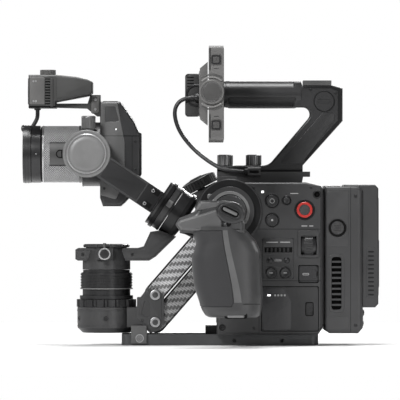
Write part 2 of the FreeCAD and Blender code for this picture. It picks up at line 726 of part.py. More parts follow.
def monitor_cable():
    """The cable that loops from the monitor's mount to the body."""
    path, radii = cable_path(CABLE_ROUTE)
    direction = V(*CABLE_ROUTE[1]) - V(*CABLE_ROUTE[0])
    section = Part.Wire(Part.makeCircle(CABLE_D / 2, V(*CABLE_ROUTE[0]), direction))
    tube = path.makePipeShell([section], True, True)
    ideal = math.pi * CABLE_D ** 2 / 4 * path.Length
    print("cable length %.1f, volume %.1f of %.1f" % (path.Length, tube.Volume, ideal))
    print("cable radii", ["%.1f" % r for r in radii])
    return tube


# ------------------------------------------------------------------ arm
def link(upper_side):
    """One carbon link of the arm, drawn along X from its rear pivot and turned into place."""
    rear, front = pivots(LINK_REAR), pivots(LINK_FRONT)
    index = 0 if upper_side else 1      # the upper link takes the upper pivots
    (x0, z0), (x1, z1) = rear[index], front[index]
    length = math.hypot(x1 - x0, z1 - z0)
    slope = math.degrees(math.atan2(z0 - z1, x0 - x1))
    w_range = (-LINK_INNER, LINK_OUTER) if upper_side else (-LINK_OUTER, LINK_INNER)
    middle = sum(w_range) / 2
    end_r = (w_range[1] - w_range[0]) / 2
    bar = box((-length, 0), both_sides(LINK_HALF), w_range)
    ends = [rod_y(x, middle, end_r, both_sides(LINK_HALF)) for x in (-length, 0)]
    hollow = box((-length + 16, -16), both_sides(LINK_HALF - 3), (w_range[0] + 3, w_range[1] - 3))
    open_pivot = PIN_R + (RUN if upper_side else 0.5)
    bores = [
        rod_y(0, 0, PIN_R + RUN, both_sides(LINK_HALF + 1)),
        rod_y(-length, 0, open_pivot, both_sides(LINK_HALF + 1)),
    ]
    return placed(minus(fused(bar, *ends), hollow, *bores), (x0, 0, z0), Y_AXIS, -slope)


def pan_base():
    """The bracket on the front of the arm and the cup that the gimbal locks into."""
    cheek = [
        (-100, 26), (-97.0, 33), (-96.3, 40.5), (-90.5, 48.1), (-87.2, 53.5), (-74.7, 49.5),
        (-71.4, 46), (-71.4, 20), (-76, 13.4), (-84.3, 10.8),
    ]
    cheeks = [along_y(cheek, sorted((side * CHEEK_IN, side * CHEEK_OUT))) for side in (-1, 1)]
    bridge = along_y([(-106, 16.5), (-97.5, 16.5), (-92, 20), (-92, 44), (-96.6, 44), (-96.6, CUP_TOP),
                      (-106, CUP_TOP)], both_sides(CHEEK_OUT))
    cup = turned([(0, 11), (22.5, 11), (CUP_R, 15.7), (CUP_R, CUP_TOP), (0, CUP_TOP)], PAN_X)
    spigot = rod_z(PAN_X, 0, SPIGOT_R, (CUP_TOP, COLUMN_FOOT))
    plate_room = box((-111.5, -60), both_sides(SADDLE_OUT), (0, 10.6))
    bores = [rod_y(x, z, PIN_R, both_sides(CHEEK_OUT + 1)) for x, z in pivots(LINK_FRONT)]
    return minus(fused(cup, spigot, bridge, *cheeks), plate_room, *bores)


def front_link_pins():
    """The pins in the front ends of the links, with their bright heads."""
    pins = []
    for x, z in pivots(LINK_FRONT):
        shaft = rod_y(x, z, PIN_R, both_sides(CHEEK_OUT))
        heads = [rod_y(x, z, 4.6, sorted((side * CHEEK_OUT, side * (CHEEK_OUT + 0.9)))) for side in (-1, 1)]
        pins.append(fused(shaft, *heads))
    return group(*pins)


# ------------------------------------------------------------------ pan axis
def lock_ring():
    """The lobed ring that locks the gimbal to the cup."""
    height = LOCK_RING_TOP - CUP_TOP - 0.3
    ring = grooved(28.0, height, 16, 2.2).translated(V(PAN_X, 0, CUP_TOP + 0.3))
    return minus(ring, rod_z(PAN_X, 0, SPIGOT_R + RUN, (CUP_TOP, COLUMN_FOOT)))


def pan_motor():
    """The pan motor's column, with its ribbed collar and its shaft."""
    profile = [(0, COLUMN_FOOT), (25, COLUMN_FOOT), (25, 45.9), (22.4, 45.9), (22.4, 51.8)]
    rib = 2.6
    z = 51.8
    while z + rib < COLUMN_TOP:
        profile += [(24.3, z), (24.3, z + rib - 0.8), (23.5, z + rib - 0.8), (23.5, z + rib)]
        z += rib
    profile += [(22.0, z), (22.0, COLUMN_TOP), (0, COLUMN_TOP)]
    return fused(turned(profile, PAN_X), rod_z(PAN_X, 0, PAN_SHAFT_R, (COLUMN_TOP, 88)))


def roll_drum(radius, s_range):
    """A drum on the roll axis."""
    return on_roll_axis(rod_x(0, 0, radius, s_range))


def pan_arm():
    """The turning cup on the pan motor and the arm that rises from it to the roll motor."""
    profile = [
        (0, 70.3), (22.4, 70.3), (22.4, 78), (19.2, 91), (21, 91), (21, PAN_CUP_TOP), (0, PAN_CUP_TOP),
    ]
    cup = turned(profile, PAN_X)
    outline = [
        (-154.5, 80), (-152, 78.6), (-85.3, 78.6), (-79, 82.5), (-60, 101), (-75.5, 107), (-84.2, 105.6),
        (-90.5, 92), (-96, 90.4), (-152, 90.4), (-154.5, 89),
    ]
    arm = along_y(outline, both_sides(PAN_ARM_HALF))
    boss = box((PAN_KNOB[0] - 7.8, PAN_KNOB[0] + 7.8), (-25, -10), (79.7, 90.4))
    bore = rod_z(PAN_X, 0, PAN_SHAFT_R + RUN, (70, 88.4))
    drum_seat = roll_drum(ROLL_R - 0.6, (ROLL_SEAM - 30, ROLL_SEAM + 30))
    disc_room = roll_drum(ROLL_R + 1.5, (ROLL_SEAM - 30, ROLL_SEAM + 0.2))
    knob_bore = rod_y(*PAN_KNOB, PAN_KNOB_SHAFT_R + RUN, (-26, -17))
    return minus(fused(cup, arm, boss), bore, drum_seat, disc_room, knob_bore)


def pan_lock_knob():
    """The small lever knob that locks the pan axis."""
    x, z = PAN_KNOB
    face = -30.5
    disc = eased(rod_y(x, z, PAN_KNOB_R, (face, -25.3)), 0.8, (face,))
    lever = rod_z(x, -28.0, 1.5, (z, z + 10.1))
    return fused(disc, lever, rod_y(x, z, PAN_KNOB_SHAFT_R, (-26, -17.4)))


# ------------------------------------------------------------------ roll axis
def roll_motor():
    """The roll motor's drum, held by the pan arm."""
    radius = ROLL_R - 0.6
    profile = [(0, 0), (radius, 0), (radius, ROLL_DRUM - 2), (ROLL_R - 3, ROLL_DRUM), (0, ROLL_DRUM)]
    drum = placed(turned(profile), (ROLL_SEAM + 0.2, 0, 0), Y_AXIS, 90)
    bore = rod_x(0, 0, ROLL_SHAFT_R + RUN, (ROLL_SEAM - 1, ROLL_SEAM + 12.4))
    return on_roll_axis(minus(drum, bore))


def roll_arm():
    """The arm that reaches forward beside the head, with the roll motor's turning disc."""
    seam = ROLL_SEAM - 0.2
    disc = rod_x(0, 0, ROLL_R, (seam - 14.5, seam))
    shaft = rod_x(0, 0, ROLL_SHAFT_R, (seam, seam + 12))
    side = box((TILT_R - 6, seam - 14.5), ARM_Y, ARM_W)
    cross = box((ARM_CROSS, seam - 14.5), (ARM_Y[0], 14), ARM_W)
    arm = fused(side, cross)
    motor_seat = rod_y(0, 0, TILT_R + 0.02, (ARM_Y[0] - 1, ARM_Y[1] + 10))
    return on_roll_axis(fused(minus(arm, motor_seat), disc, shaft))


def tilt_motor():
    """The tilt motor on the arm's front end."""
    housing = eased(rod_y(TILT_X, TILT_Z, TILT_R, TILT_Y), 1.2, TILT_Y)
    cap = rod_y(TILT_X, TILT_Z, 16.0, (TILT_Y[0] - 1.6, TILT_Y[0]))
    ring = rod_y(TILT_X, TILT_Z, 18.4, (TILT_Y[0] - 0.8, TILT_Y[0]))
    bore = rod_y(TILT_X, TILT_Z, TILT_BORE_R, (-50, TILT_Y[1] + 1))
    knob_seat = rod_z(*TILT_KNOB, 4.0, (196, TILT_KNOB_Z - 0.4))
    knob_bore = rod_z(*TILT_KNOB, KNOB_SHAFT_R + RUN, (197, TILT_KNOB_Z))
    return minus(fused(housing, cap, ring, knob_seat), bore, knob_bore)


def tilt_lock_knob():
    """The upright knob that locks the tilt axis."""
    knob = grooved(6.6, 11.4, 20, 0.5).translated(V(*TILT_KNOB, TILT_KNOB_Z))
    return fused(knob, rod_z(*TILT_KNOB, KNOB_SHAFT_R, (198.6, TILT_KNOB_Z + 1)))


# ------------------------------------------------------------------ lens head
def camera_head():
    """The case of the image sensor, with the lens mount in front and the tilt shaft on its left."""
    outline = [
        (HEAD_FRONT, 227.4), (-112, 227.4), (-98.3, 207), (-95.3, 199.8), (-92.7, 198), (-92.7, 160),
        (-103, 138.6), (-107.8, 133.3), (-112, 129.6), (-128.3, 129.6), (HEAD_FRONT, 137.5),
    ]
    case = eased(along_y(outline, both_sides(HEAD_HALF)), 3.0, (-HEAD_HALF, HEAD_HALF))
    mount = rod_x(0, TILT_Z, 30.0, (BARREL_X[1], HEAD_FRONT))
    shaft = rod_y(TILT_X, TILT_Z, TILT_BORE_R - RUN, (-49.6, -27.6))
    tunnel = rod_x(0, TILT_Z, LENS_BORE_R, (BARREL_X[1] - 1, -118))
    return minus(fused(case, mount, shaft), tunnel)


def lens_barrel():
    """The lens: a knurled barrel and the sleeve that the focus ring turns on."""
    barrel = rod_x(0, TILT_Z, LENS_R, BARREL_X)
    sleeve = rod_x(0, TILT_Z, LENS_SLEEVE_R, (HOOD_X[1], BARREL_X[0]))
    return minus(fused(barrel, sleeve), rod_x(0, TILT_Z, LENS_BORE_R, (HOOD_X[1] - 1, BARREL_X[1] + 1)))


def focus_ring():
    """The lens's focus ring."""
    ring = rod_x(0, TILT_Z, HOOD_R - 0.2, FOCUS_X)
    return minus(ring, rod_x(0, TILT_Z, LENS_SLEEVE_R + RUN, (FOCUS_X[0] - 1, FOCUS_X[1] + 1)))


def lens_hood():
    """The front ring of the lens, threaded for filters."""
    ring = rod_x(0, TILT_Z, HOOD_R, HOOD_X)
    thread = rod_x(0, TILT_Z, FILTER_R, (HOOD_X[0] - 1, HOOD_X[1] - 1.4))
    return minus(ring, thread, rod_x(0, TILT_Z, LENS_BORE_R, (HOOD_X[0] - 1, HOOD_X[1] + 1)))


def lens_glass():
    """The front and the rear element of the lens."""
    front = rod_x(0, TILT_Z, LENS_BORE_R, (-195.5, -188))
    dome_r = 48.0
    dome = Part.makeSphere(dome_r, V(-195.5 + dome_r, 0, TILT_Z))
    return group(front.common(dome), rod_x(0, TILT_Z, LENS_BORE_R, (-160, -154)))


def rangefinder():
    """The distance sensor above the lens, with the bracket that holds it on the head."""
    low, high = RANGE_Z
    outline = [
        (RANGE_X[0], low), (RANGE_X[1], low), (RANGE_X[1], 227.4), (-141.4, 233.3), (-138.3, 235.9),
        (-138.3, 246.1), (-142.9, 248.3), (-153.8, 250.8), (RANGE_X[1], high), (RANGE_X[0], high),
    ]
    case = eased(along_y(outline, both_sides(RANGE_HALF)), 2.0, (-RANGE_HALF, RANGE_HALF))
    bracket = along_y([(-173, 222.2), (-173, 226), (-143, 226), (-140.5, 234), (HEAD_FRONT, 234),
                       (HEAD_FRONT, 214), (-134.4, 214), (-143.8, 221.4)], both_sides(12))
    eyes = [rod_x(y, 237, 6.0, (RANGE_X[0] - 1, RANGE_X[0] + 1.5)) for y in RANGE_EYES]
    bore = rod_z(RANGE_KNOB_X, 0, KNOB_SHAFT_R + RUN, (247, 254))
    return minus(fused(case, bracket), *eyes, bore)


def rangefinder_knob():
    """The screw that clamps the distance sensor."""
    knob = grooved(7.4, 4.7, 18, 0.6).translated(V(RANGE_KNOB_X, 0, RANGE_Z[1] + 0.3))
    return fused(knob, rod_z(RANGE_KNOB_X, 0, KNOB_SHAFT_R, (247.6, RANGE_Z[1] + 1)))


# ------------------------------------------------------------------ hand grips
def left_grip():
    """The hard part of the left grip: the head with its nose, the arm to the rosette and the spine."""
    nose_outline = [
        (-60.4, 112.6), (-57.2, 118.6), (-43, 124.4), (-38.6, 135), (-12, 135), (-2, 104), (-15.3, 103.6),
        (-55.2, 105.5),
    ]
    nose = along_y(nose_outline, (-GRIP_OUT + 3, -GRIP_IN - 3))
    spine = along_y([(-15.3, 104.5), (-5.6, 41.5), (-7.5, 27.9), (18.2, 27.9), (20.1, 49.1), (19.2, 63.4),
                     (18.2, 87.4), (14.4, 97), (6.6, 106), (4, 112)], (-GRIP_OUT, -GRIP_IN))
    spine = eased(spine, 6.0, (-GRIP_OUT, -GRIP_IN))
    head = rod_y(GRIP_X, GRIP_Z, GRIP_HEAD_R, (-GRIP_OUT + 3, -GRIP_IN))
    arm = rod_y(GRIP_X, GRIP_Z, GRIP_ARM_R, (-GRIP_IN - 1, -ROSETTE_FACE - 0.3))
    bore = rod_y(GRIP_X, GRIP_Z, LOCK_SCREW_R + RUN, (-GRIP_OUT, -ROSETTE_FACE))
    key_room = rod_y(GRIP_X, GRIP_Z, 11.6, (-GRIP_OUT - 1, -137))
    return minus(fused(nose, spine, head, arm), bore, key_room)


def left_grip_rubber():
    """The soft front of the left grip, under the fingers."""
    outline = [
        (-10, 105), (-45.3, 105), (-40.8, 95.1), (-44.6, 82.6), (-42.7, 58.7), (-36.5, 36.6), (-32.6, 27.9),
        (-3, 27.9),
    ]
    block = eased(along_y(outline, (-GRIP_OUT, -GRIP_IN)), 5.0, (-GRIP_OUT, -GRIP_IN))
    return minus(block, left_grip())


def wheel_axis(shape):
    """A shape drawn on an upright axis, moved onto the focus wheel's axis on the right grip."""
    return placed(shape, WHEEL_SEAT, Y_AXIS, -WHEEL_TILT)


def right_grip():
    """The right grip's hard part, with the seat of its focus wheel."""
    seat = wheel_axis(rod_z(0, 0, 15.0, (-6, 20.5)))
    bore = wheel_axis(rod_z(0, 0, 4.0 + RUN, (10, 22)))
    return minus(fused(mirrored(left_grip()), seat), bore)


def right_focus_wheel():
    """The focus wheel on the right grip, with a domed top."""
    rim = grooved(18.2, 9.0, 36, 0.6).translated(V(0, 0, 20.9))
    dome_r = 60.0
    dome = Part.makeSphere(dome_r, V(0, 0, 32.4 - dome_r)).common(rod_z(0, 0, 16.8, (29.0, 33)))
    return wheel_axis(fused(rim, dome, rod_z(0, 0, 4.0, (11, 21.5))))


def grip_lock_screws():
    """The screws on the rosette axis that clamp the grips, each with a folding key."""
    shaft = rod_y(GRIP_X, GRIP_Z, LOCK_SCREW_R, (-138.4, -46))
    head = rod_y(GRIP_X, GRIP_Z, 11.0, (-139.6, -137.3))
    key = placed(box((-10.5, 10.5), (-142.0, -139.6), (-3.2, 3.2)), (GRIP_X, 0, GRIP_Z), Y_AXIS, 25)
    screw = fused(shaft, head, key)
    return group(screw, mirrored(screw))


# ------------------------------------------------------------------ write every piece
PIECES = {
    "base_plate": base_plate, "dovetail_rail": dovetail_rail, "parking_saddle": parking_saddle,
    "chassis": chassis, "main_board": main_board, "left_shell": left_shell, "right_shell": right_shell,
    "top_mount_plate": top_mount_plate, "control_panel": control_panel, "grip_rosettes": grip_rosettes,
    "body_fasteners": body_fasteners, "multi_wheel": multi_wheel, "media_door": media_door,
    "door_latch": door_latch, "usb_cover": usb_cover, "rear_housing": rear_housing,
    "cooling_fan": cooling_fan, "battery_release": battery_release, "battery": battery,
    "top_handle": top_handle, "accessory_shoe": accessory_shoe, "monitor_mount": monitor_mount,
    "monitor_housing": monitor_housing, "monitor_screen": monitor_screen, "monitor_cable": monitor_cable,
    "pan_base": pan_base, "front_link_pins": front_link_pins, "lock_ring": lock_ring, "pan_motor": pan_motor,
    "pan_arm": pan_arm, "pan_lock_knob": pan_lock_knob, "roll_motor": roll_motor, "roll_arm": roll_arm,
    "tilt_motor": tilt_motor, "tilt_lock_knob": tilt_lock_knob, "camera_head": camera_head,
    "lens_barrel": lens_barrel, "focus_ring": focus_ring, "lens_hood": lens_hood, "lens_glass": lens_glass,
    "rangefinder": rangefinder, "rangefinder_knob": rangefinder_knob, "left_grip": left_grip,
    "left_grip_rubber": left_grip_rubber, "right_grip": right_grip, "right_focus_wheel": right_focus_wheel,
    "grip_lock_screws": grip_lock_screws,
}


def main():
    """Build every piece and write one STEP file for each."""
    os.makedirs("parts", exist_ok=True)
    shapes = {name: make() for name, make in PIECES.items()}
    for name in BUTTONS:
        shapes[name] = button(name)
    shapes["front_thumbscrew"] = thumbscrew(SCREW_X[0])
    shapes["rear_thumbscrew"] = thumbscrew(SCREW_X[1])
    shapes["upper_link"] = link(True)
    shapes["lower_link"] = link(False)
    shapes["monitor_key_lower"] = monitor_key(MONITOR_KEYS[0])
    shapes["monitor_key_upper"] = monitor_key(MONITOR_KEYS[1])
    shapes["right_grip_rubber"] = mirrored(left_grip_rubber())
    for name, shape in shapes.items():
        shape.exportStep("parts/%s.step" % name)
    print(len(shapes), "pieces")
    return shapes


main()
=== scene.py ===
import math

import bmesh
import bpy
from mathutils import Matrix, Vector


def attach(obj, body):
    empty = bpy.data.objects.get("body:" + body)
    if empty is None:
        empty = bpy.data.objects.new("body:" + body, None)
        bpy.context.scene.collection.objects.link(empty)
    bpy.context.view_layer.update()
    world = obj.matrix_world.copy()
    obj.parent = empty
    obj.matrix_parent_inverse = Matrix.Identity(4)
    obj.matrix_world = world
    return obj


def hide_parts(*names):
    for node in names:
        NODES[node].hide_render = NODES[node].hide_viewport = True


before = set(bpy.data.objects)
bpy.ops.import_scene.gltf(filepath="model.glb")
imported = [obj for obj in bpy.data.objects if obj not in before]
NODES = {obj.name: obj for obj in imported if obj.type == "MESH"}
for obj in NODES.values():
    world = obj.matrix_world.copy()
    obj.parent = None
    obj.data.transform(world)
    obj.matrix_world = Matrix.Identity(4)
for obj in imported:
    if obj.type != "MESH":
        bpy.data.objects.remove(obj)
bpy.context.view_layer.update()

# Places and sizes are in millimetres, in the frame's axes, unless a comment says otherwise.
MM = 0.001
TILT = (-143, 178.5)  # tilt axis, X and Z
ROLL_PITCH = math.radians(33.7)  # the roll axis, below the horizontal
PAN_X = -125.5  # pan axis
ROSETTE = (-10, 125)  # middle of the rosettes, X and Z
HANDLE_Z = 234.7  # middle of the top handle's bar
GRIP_Y = 120  # middle of each grip, from the centre plane
BOTH = (("left", -1), ("right", 1))  # the operator's side and the far side, with the sign of Y
OPERATOR, FORWARD, UP = (0, -1, 0), (-1, 0, 0), (0, 0, 1)
KNURL_LOW, KNURL_DEPTH = 26, 0.55  # radius of the knurl's valleys, and how far its points stand out


# ---- material helpers; noise scales are per metre and bump depths in metres
class Graph:
    """A material with short calls for the nodes used here."""

    def __init__(self, name):
        self.material = bpy.data.materials.new(name)
        self.material.use_nodes = True
        self.tree = self.material.node_tree
        self.shader = self.tree.nodes["Principled BSDF"]
        self.place = self.tree.nodes.new("ShaderNodeTexCoord").outputs["Object"]

    def node(self, kind, **inputs):
        made = self.tree.nodes.new("ShaderNode" + kind)
        for key, value in inputs.items():
            socket = made.inputs[key.replace("_", " ")]
            if hasattr(value, "node"):
                self.tree.links.new(value, socket)
            else:
                socket.default_value = value
        return made

    def math(self, operation, a, b=0):
        made = self.tree.nodes.new("ShaderNodeMath")
        made.operation = operation
        for socket, value in zip(made.inputs, (a, b)):
            if hasattr(value, "node"):
                self.tree.links.new(value, socket)
            else:
                socket.default_value = value
        return made.outputs[0]

    def noise(self, scale, detail=3, rough=0.55, stretch=(1, 1, 1)):
        place = self.node("Mapping", Vector=self.place, Scale=stretch).outputs[0]
        return self.node("TexNoise", Vector=place, Scale=scale, Detail=detail,
            Roughness=rough).outputs["Fac"]

    def ramp(self, value, stops):
        made = self.node("ValToRGB", Fac=value)
        elements = made.color_ramp.elements
        while len(elements) < len(stops):
            elements.new(0.5)
        for element, (at, colour) in zip(elements, stops):
            element.position = at
            element.color = (*colour, 1)
        return made.outputs["Color"]

    def spread(self, value, low, high):
        return self.node("MapRange", Value=value, To_Min=low, To_Max=high).outputs["Result"]

    def bump(self, height, distance, strength=1, below=None):
        made = self.node("Bump", Height=height, Distance=distance, Strength=strength)
        if below is not None:
            self.tree.links.new(below, made.inputs["Normal"])
        return made.outputs["Normal"]

    def set(self, **inputs):
        for key, value in inputs.items():
            socket = self.shader.inputs[key.replace("_", " ")]
            if hasattr(value, "node"):
                self.tree.links.new(value, socket)
            else:
                socket.default_value = value
        return self


def shade(colour, factor):
    return tuple(min(1, c * factor) for c in colour)


def moulded(name, colour, rough=0.5, grain=1800, depth=0.00003, variation=0.12):
    """Moulded plastic or painted metal: fine grain, patchy gloss and faint handling marks."""
    g = Graph(name)
    patches = g.noise(38, 4)
    fine = g.noise(grain, 2)
    tint = g.ramp(patches, [(0.3, shade(colour, 1 - variation)), (0.7, shade(colour, 1 + variation))])
    gloss = g.spread(patches, rough - 0.07, rough + 0.07)
    marks = g.noise(260, 5, 0.7, (1, 1, 0.25))
    normal = g.bump(marks, 0.00002, 0.35, g.bump(fine, depth, 0.8))
    g.set(Base_Color=tint, Roughness=gloss, Normal=normal)
    return g


def metal(name, colour, rough=0.32, stretch=(1, 1, 1), metallic=1, depth=0.000012):
    """Turned, brushed or blasted metal with its grain drawn out along an axis."""
    g = Graph(name)
    lines = g.noise(900, 4, 0.6, stretch)
    patches = g.noise(45, 3)
    tint = g.ramp(patches, [(0.3, shade(colour, 0.88)), (0.7, shade(colour, 1.1))])
    gloss = g.spread(lines, rough - 0.08, rough + 0.1)
    g.set(Base_Color=tint, Roughness=gloss, Normal=g.bump(lines, depth, 0.6))
    g.shader.inputs["Metallic"].default_value = metallic
    return g


def rubber(name, colour, rough=0.62, grain=1300):
    """Soft rubber: a pebbled skin with a little sheen."""
    g = Graph(name)
    place = g.node("Mapping", Vector=g.place).outputs[0]
    cells = g.node("TexVoronoi", Vector=place, Scale=grain).outputs["Distance"]
    patches = g.noise(30, 4)
    tint = g.ramp(patches, [(0.3, shade(colour, 0.85)), (0.7, shade(colour, 1.15))])
    g.set(Base_Color=tint, Roughness=g.spread(patches, rough - 0.08, rough + 0.06))
    g.set(Normal=g.bump(cells, 0.00005, 0.7), Sheen_Weight=0.15, Sheen_Roughness=0.5)
    return g


def carbon(name, light, dark, cell=2.4):
    """Carbon-fibre twill under lacquer: two-over-two tows along and across the link."""
    g = Graph(name)
    turned = g.node("Mapping", Vector=g.place, Rotation=(0, math.radians(49), 0),
        Scale=(1 / (cell * MM),) * 3).outputs[0]
    axes = g.node("SeparateXYZ", Vector=turned)
    along, across = axes.outputs["X"], g.math("ADD", axes.outputs["Z"], axes.outputs["Y"])
    step = g.math("ADD", g.math("FLOOR", along), g.math("FLOOR", across))
    over = g.math("LESS_THAN", g.math("MODULO", g.math("ADD", step, 4000), 4), 1.9)
    tow_a = g.math("SINE", g.math("MULTIPLY", across, math.pi))
    tow_b = g.math("SINE", g.math("MULTIPLY", along, math.pi))
    round_a = g.math("ABSOLUTE", tow_a)
    round_b = g.math("ABSOLUTE", tow_b)
    mix = g.node("Mix", Factor=over)
    g.tree.links.new(round_a, mix.inputs["A"])
    g.tree.links.new(round_b, mix.inputs["B"])
    height = mix.outputs["Result"]
    fibres = g.noise(5200, 2, 0.5, (1, 1, 1))
    shade_of = g.math("ADD", g.math("MULTIPLY", over, 0.55), g.math("MULTIPLY", fibres, 0.35))
    g.set(Base_Color=g.ramp(shade_of, [(0.12, dark), (0.85, light)]))
    g.set(Roughness=g.spread(height, 0.42, 0.24), Normal=g.bump(height, 0.00016, 0.8))
    g.set(Coat_Weight=0.6, Coat_Roughness=0.12, Metallic=0.35)
    return g


def knurl(name, light, dark):
    """Diamond knurling: pale points and valleys darkened as painted shade, told apart by distance from the
    lens axis.
    """
    g = Graph(name)
    axes = g.node("SeparateXYZ", Vector=g.place)
    across = axes.outputs["Y"]
    up = g.math("SUBTRACT", axes.outputs["Z"], TILT[1] * MM)
    radius = g.math("POWER", g.math("ADD", g.math("MULTIPLY", across, across),
        g.math("MULTIPLY", up, up)), 0.5)
    height = g.math("MULTIPLY", g.math("SUBTRACT", radius, KNURL_LOW * MM), 1 / (KNURL_DEPTH * MM))
    # painted shade: the colour darkens from the points into the valleys by height, with a little random
    # tone from noise
    painted_valley_shade = g.math("ADD", height, g.math("MULTIPLY", g.noise(700, 3), 0.12))
    g.set(Base_Color=g.ramp(painted_valley_shade, [(0.25, dark), (0.95, light)]))
    g.set(Roughness=g.spread(height, 0.6, 0.34), Metallic=0.5)
    return g


def glow(name, colour, strength):
    """A small lamp behind a frosted lens."""
    g = Graph(name)
    frost = g.noise(2500, 2)
    g.set(Base_Color=g.ramp(frost, [(0.3, shade(colour, 0.85)), (0.7, colour)]), Roughness=0.3)
    g.set(Emission_Color=(*colour, 1), Emission_Strength=strength)
    return g


def lens_coating(name):
    """Dark coated glass whose tint drifts from blue to amber towards the rim."""
    g = Graph(name)
    rim = g.node("LayerWeight", Blend=0.35).outputs["Facing"]
    g.set(Base_Color=g.ramp(rim, [(0, (0.004, 0.005, 0.012)), (0.45, (0.02, 0.012, 0.05)),
        (0.8, (0.05, 0.03, 0.012))]))
    smears = g.noise(60, 3)
    g.set(Roughness=g.spread(smears, 0.03, 0.07), IOR=1.6, Coat_Weight=1, Coat_Roughness=0.03)
    return g


MATERIALS = {
    "plate": metal("plate_grey", (0.075, 0.076, 0.078), 0.4, (0.05, 1, 1), 0.6),
    "saddle": metal("saddle_grey", (0.11, 0.11, 0.11), 0.42, metallic=0.6),
    "shell": moulded("shell_charcoal", (0.032, 0.032, 0.033), 0.42),
    "shell_dark": moulded("shell_black", (0.009, 0.009, 0.0095), 0.42),
    "door": moulded("door_charcoal", (0.026, 0.026, 0.027), 0.44),
    "door_light": moulded("door_slate", (0.034, 0.034, 0.036), 0.38),
    "rear": moulded("rear_charcoal", (0.038, 0.038, 0.039), 0.4),
    "battery": moulded("battery_charcoal", (0.031, 0.031, 0.032), 0.44),
    "handle": moulded("handle_black", (0.022, 0.022, 0.023), 0.38, depth=0.00002),
    "handle_rubber": rubber("handle_rubber", (0.006, 0.006, 0.0065), 0.55),
    "frame": metal("frame_alloy", (0.2, 0.2, 0.21), 0.4),
    "board": moulded("board_green", (0.01, 0.06, 0.03), 0.4),
    "steel": metal("pin_steel", (0.38, 0.38, 0.385), 0.36, metallic=0.8),
    "bright": metal("bright_ring", (0.55, 0.55, 0.555), 0.34, metallic=0.85),
    "monitor": moulded("monitor_grey", (0.125, 0.123, 0.121), 0.4, depth=0.00002),
    "monitor_dark": moulded("monitor_dark", (0.036, 0.036, 0.036), 0.42),
    "screen": Graph("screen_glass"),
    "key": moulded("key_black", (0.020, 0.020, 0.021), 0.34, depth=0.00001),
    "key_grey": moulded("key_grey", (0.042, 0.041, 0.041), 0.36, depth=0.00001),
    "red": moulded("record_red", (0.45, 0.032, 0.026), 0.3, depth=0.00001),
    "rubber": rubber("grip_rubber", (0.015, 0.015, 0.0165), 0.62),
    "cable": rubber("cable_jacket", (0.018, 0.018, 0.019), 0.4),
    "grip": moulded("grip_charcoal", (0.040, 0.040, 0.041), 0.38),
    "grip_cap": moulded("grip_cap", (0.024, 0.024, 0.025), 0.34, depth=0.00002),
    "carbon_upper": carbon("carbon_upper", (0.62, 0.62, 0.63), (0.12, 0.12, 0.12)),
    "carbon_lower": carbon("carbon_lower", (0.30, 0.30, 0.30), (0.05, 0.05, 0.05)),
    "gimbal": metal("gimbal_dark", (0.030, 0.030, 0.031), 0.34, metallic=0.5),
    "gimbal_grey": metal("gimbal_grey", (0.062, 0.062, 0.063), 0.37, metallic=0.5),
    "motor": metal("motor_grey", (0.20, 0.20, 0.20), 0.46, metallic=0.4),
    "motor_dark": metal("wheel_grey", (0.022, 0.022, 0.022), 0.36, metallic=0.5),
    # a lighter grey for the grip's cheek and brow: partly their own paler tone, partly painted highlight on
    # the grip's head
    "grip_mid": moulded("grip_pale_highlight", (0.095, 0.095, 0.096), 0.36),
    "grip_strip": moulded("grip_strip", (0.105, 0.105, 0.106), 0.36),
    "knob": metal("knob_alloy", (0.20, 0.20, 0.201), 0.36, (1, 1, 0.05), 0.7),
    "head": moulded("head_dark", (0.020, 0.020, 0.021), 0.38),
    "head_grey": metal("head_grey", (0.115, 0.115, 0.115), 0.42, metallic=0.4),
    "lens_grey": metal("lens_grey", (0.10, 0.10, 0.10), 0.36, metallic=0.6),
    "lens_knurl": knurl("lens_knurl", (0.52, 0.52, 0.525), (0.05, 0.05, 0.05)),
    "head_mid": metal("head_mid", (0.055, 0.055, 0.056), 0.42, metallic=0.4),
    "monitor_mid": moulded("monitor_slate", (0.065, 0.064, 0.063), 0.4, depth=0.00002),
    "monitor_light": moulded("monitor_pale", (0.19, 0.187, 0.184), 0.36, depth=0.00001),
    "lens_black": moulded("lens_black", (0.017, 0.017, 0.018), 0.3, depth=0.00001),
    "black": moulded("matt_black", (0.006, 0.006, 0.006), 0.7),
    "glass": lens_coating("lens_glass_coating"),
    "sensor": metal("sensor_grey", (0.060, 0.060, 0.059), 0.4, metallic=0.35),
    "sensor_light": metal("sensor_light", (0.135, 0.133, 0.131), 0.42, metallic=0.35),
    "mark": moulded("printed_mark", (0.38, 0.38, 0.38), 0.5, depth=0.000005),
    "lamp": glow("white_lamp", (1, 1, 1), 1.6),
    "fan": moulded("fan_black", (0.012, 0.012, 0.012), 0.5),
}


MATERIALS["black"].set(Specular_IOR_Level=0.08)
MATERIALS["shell_dark"].set(Specular_IOR_Level=0.22)


def screen_glass():
    """The monitor's unlit panel: near-black glass with a hint of the pixel layer."""
    g = MATERIALS["screen"]
    haze = g.noise(120, 3)
    g.set(Base_Color=g.ramp(haze, [(0.3, (0.004, 0.004, 0.005)), (0.7, (0.008, 0.008, 0.011))]))
    g.set(Roughness=g.spread(haze, 0.05, 0.1), Coat_Weight=1, Coat_Roughness=0.03)


screen_glass()


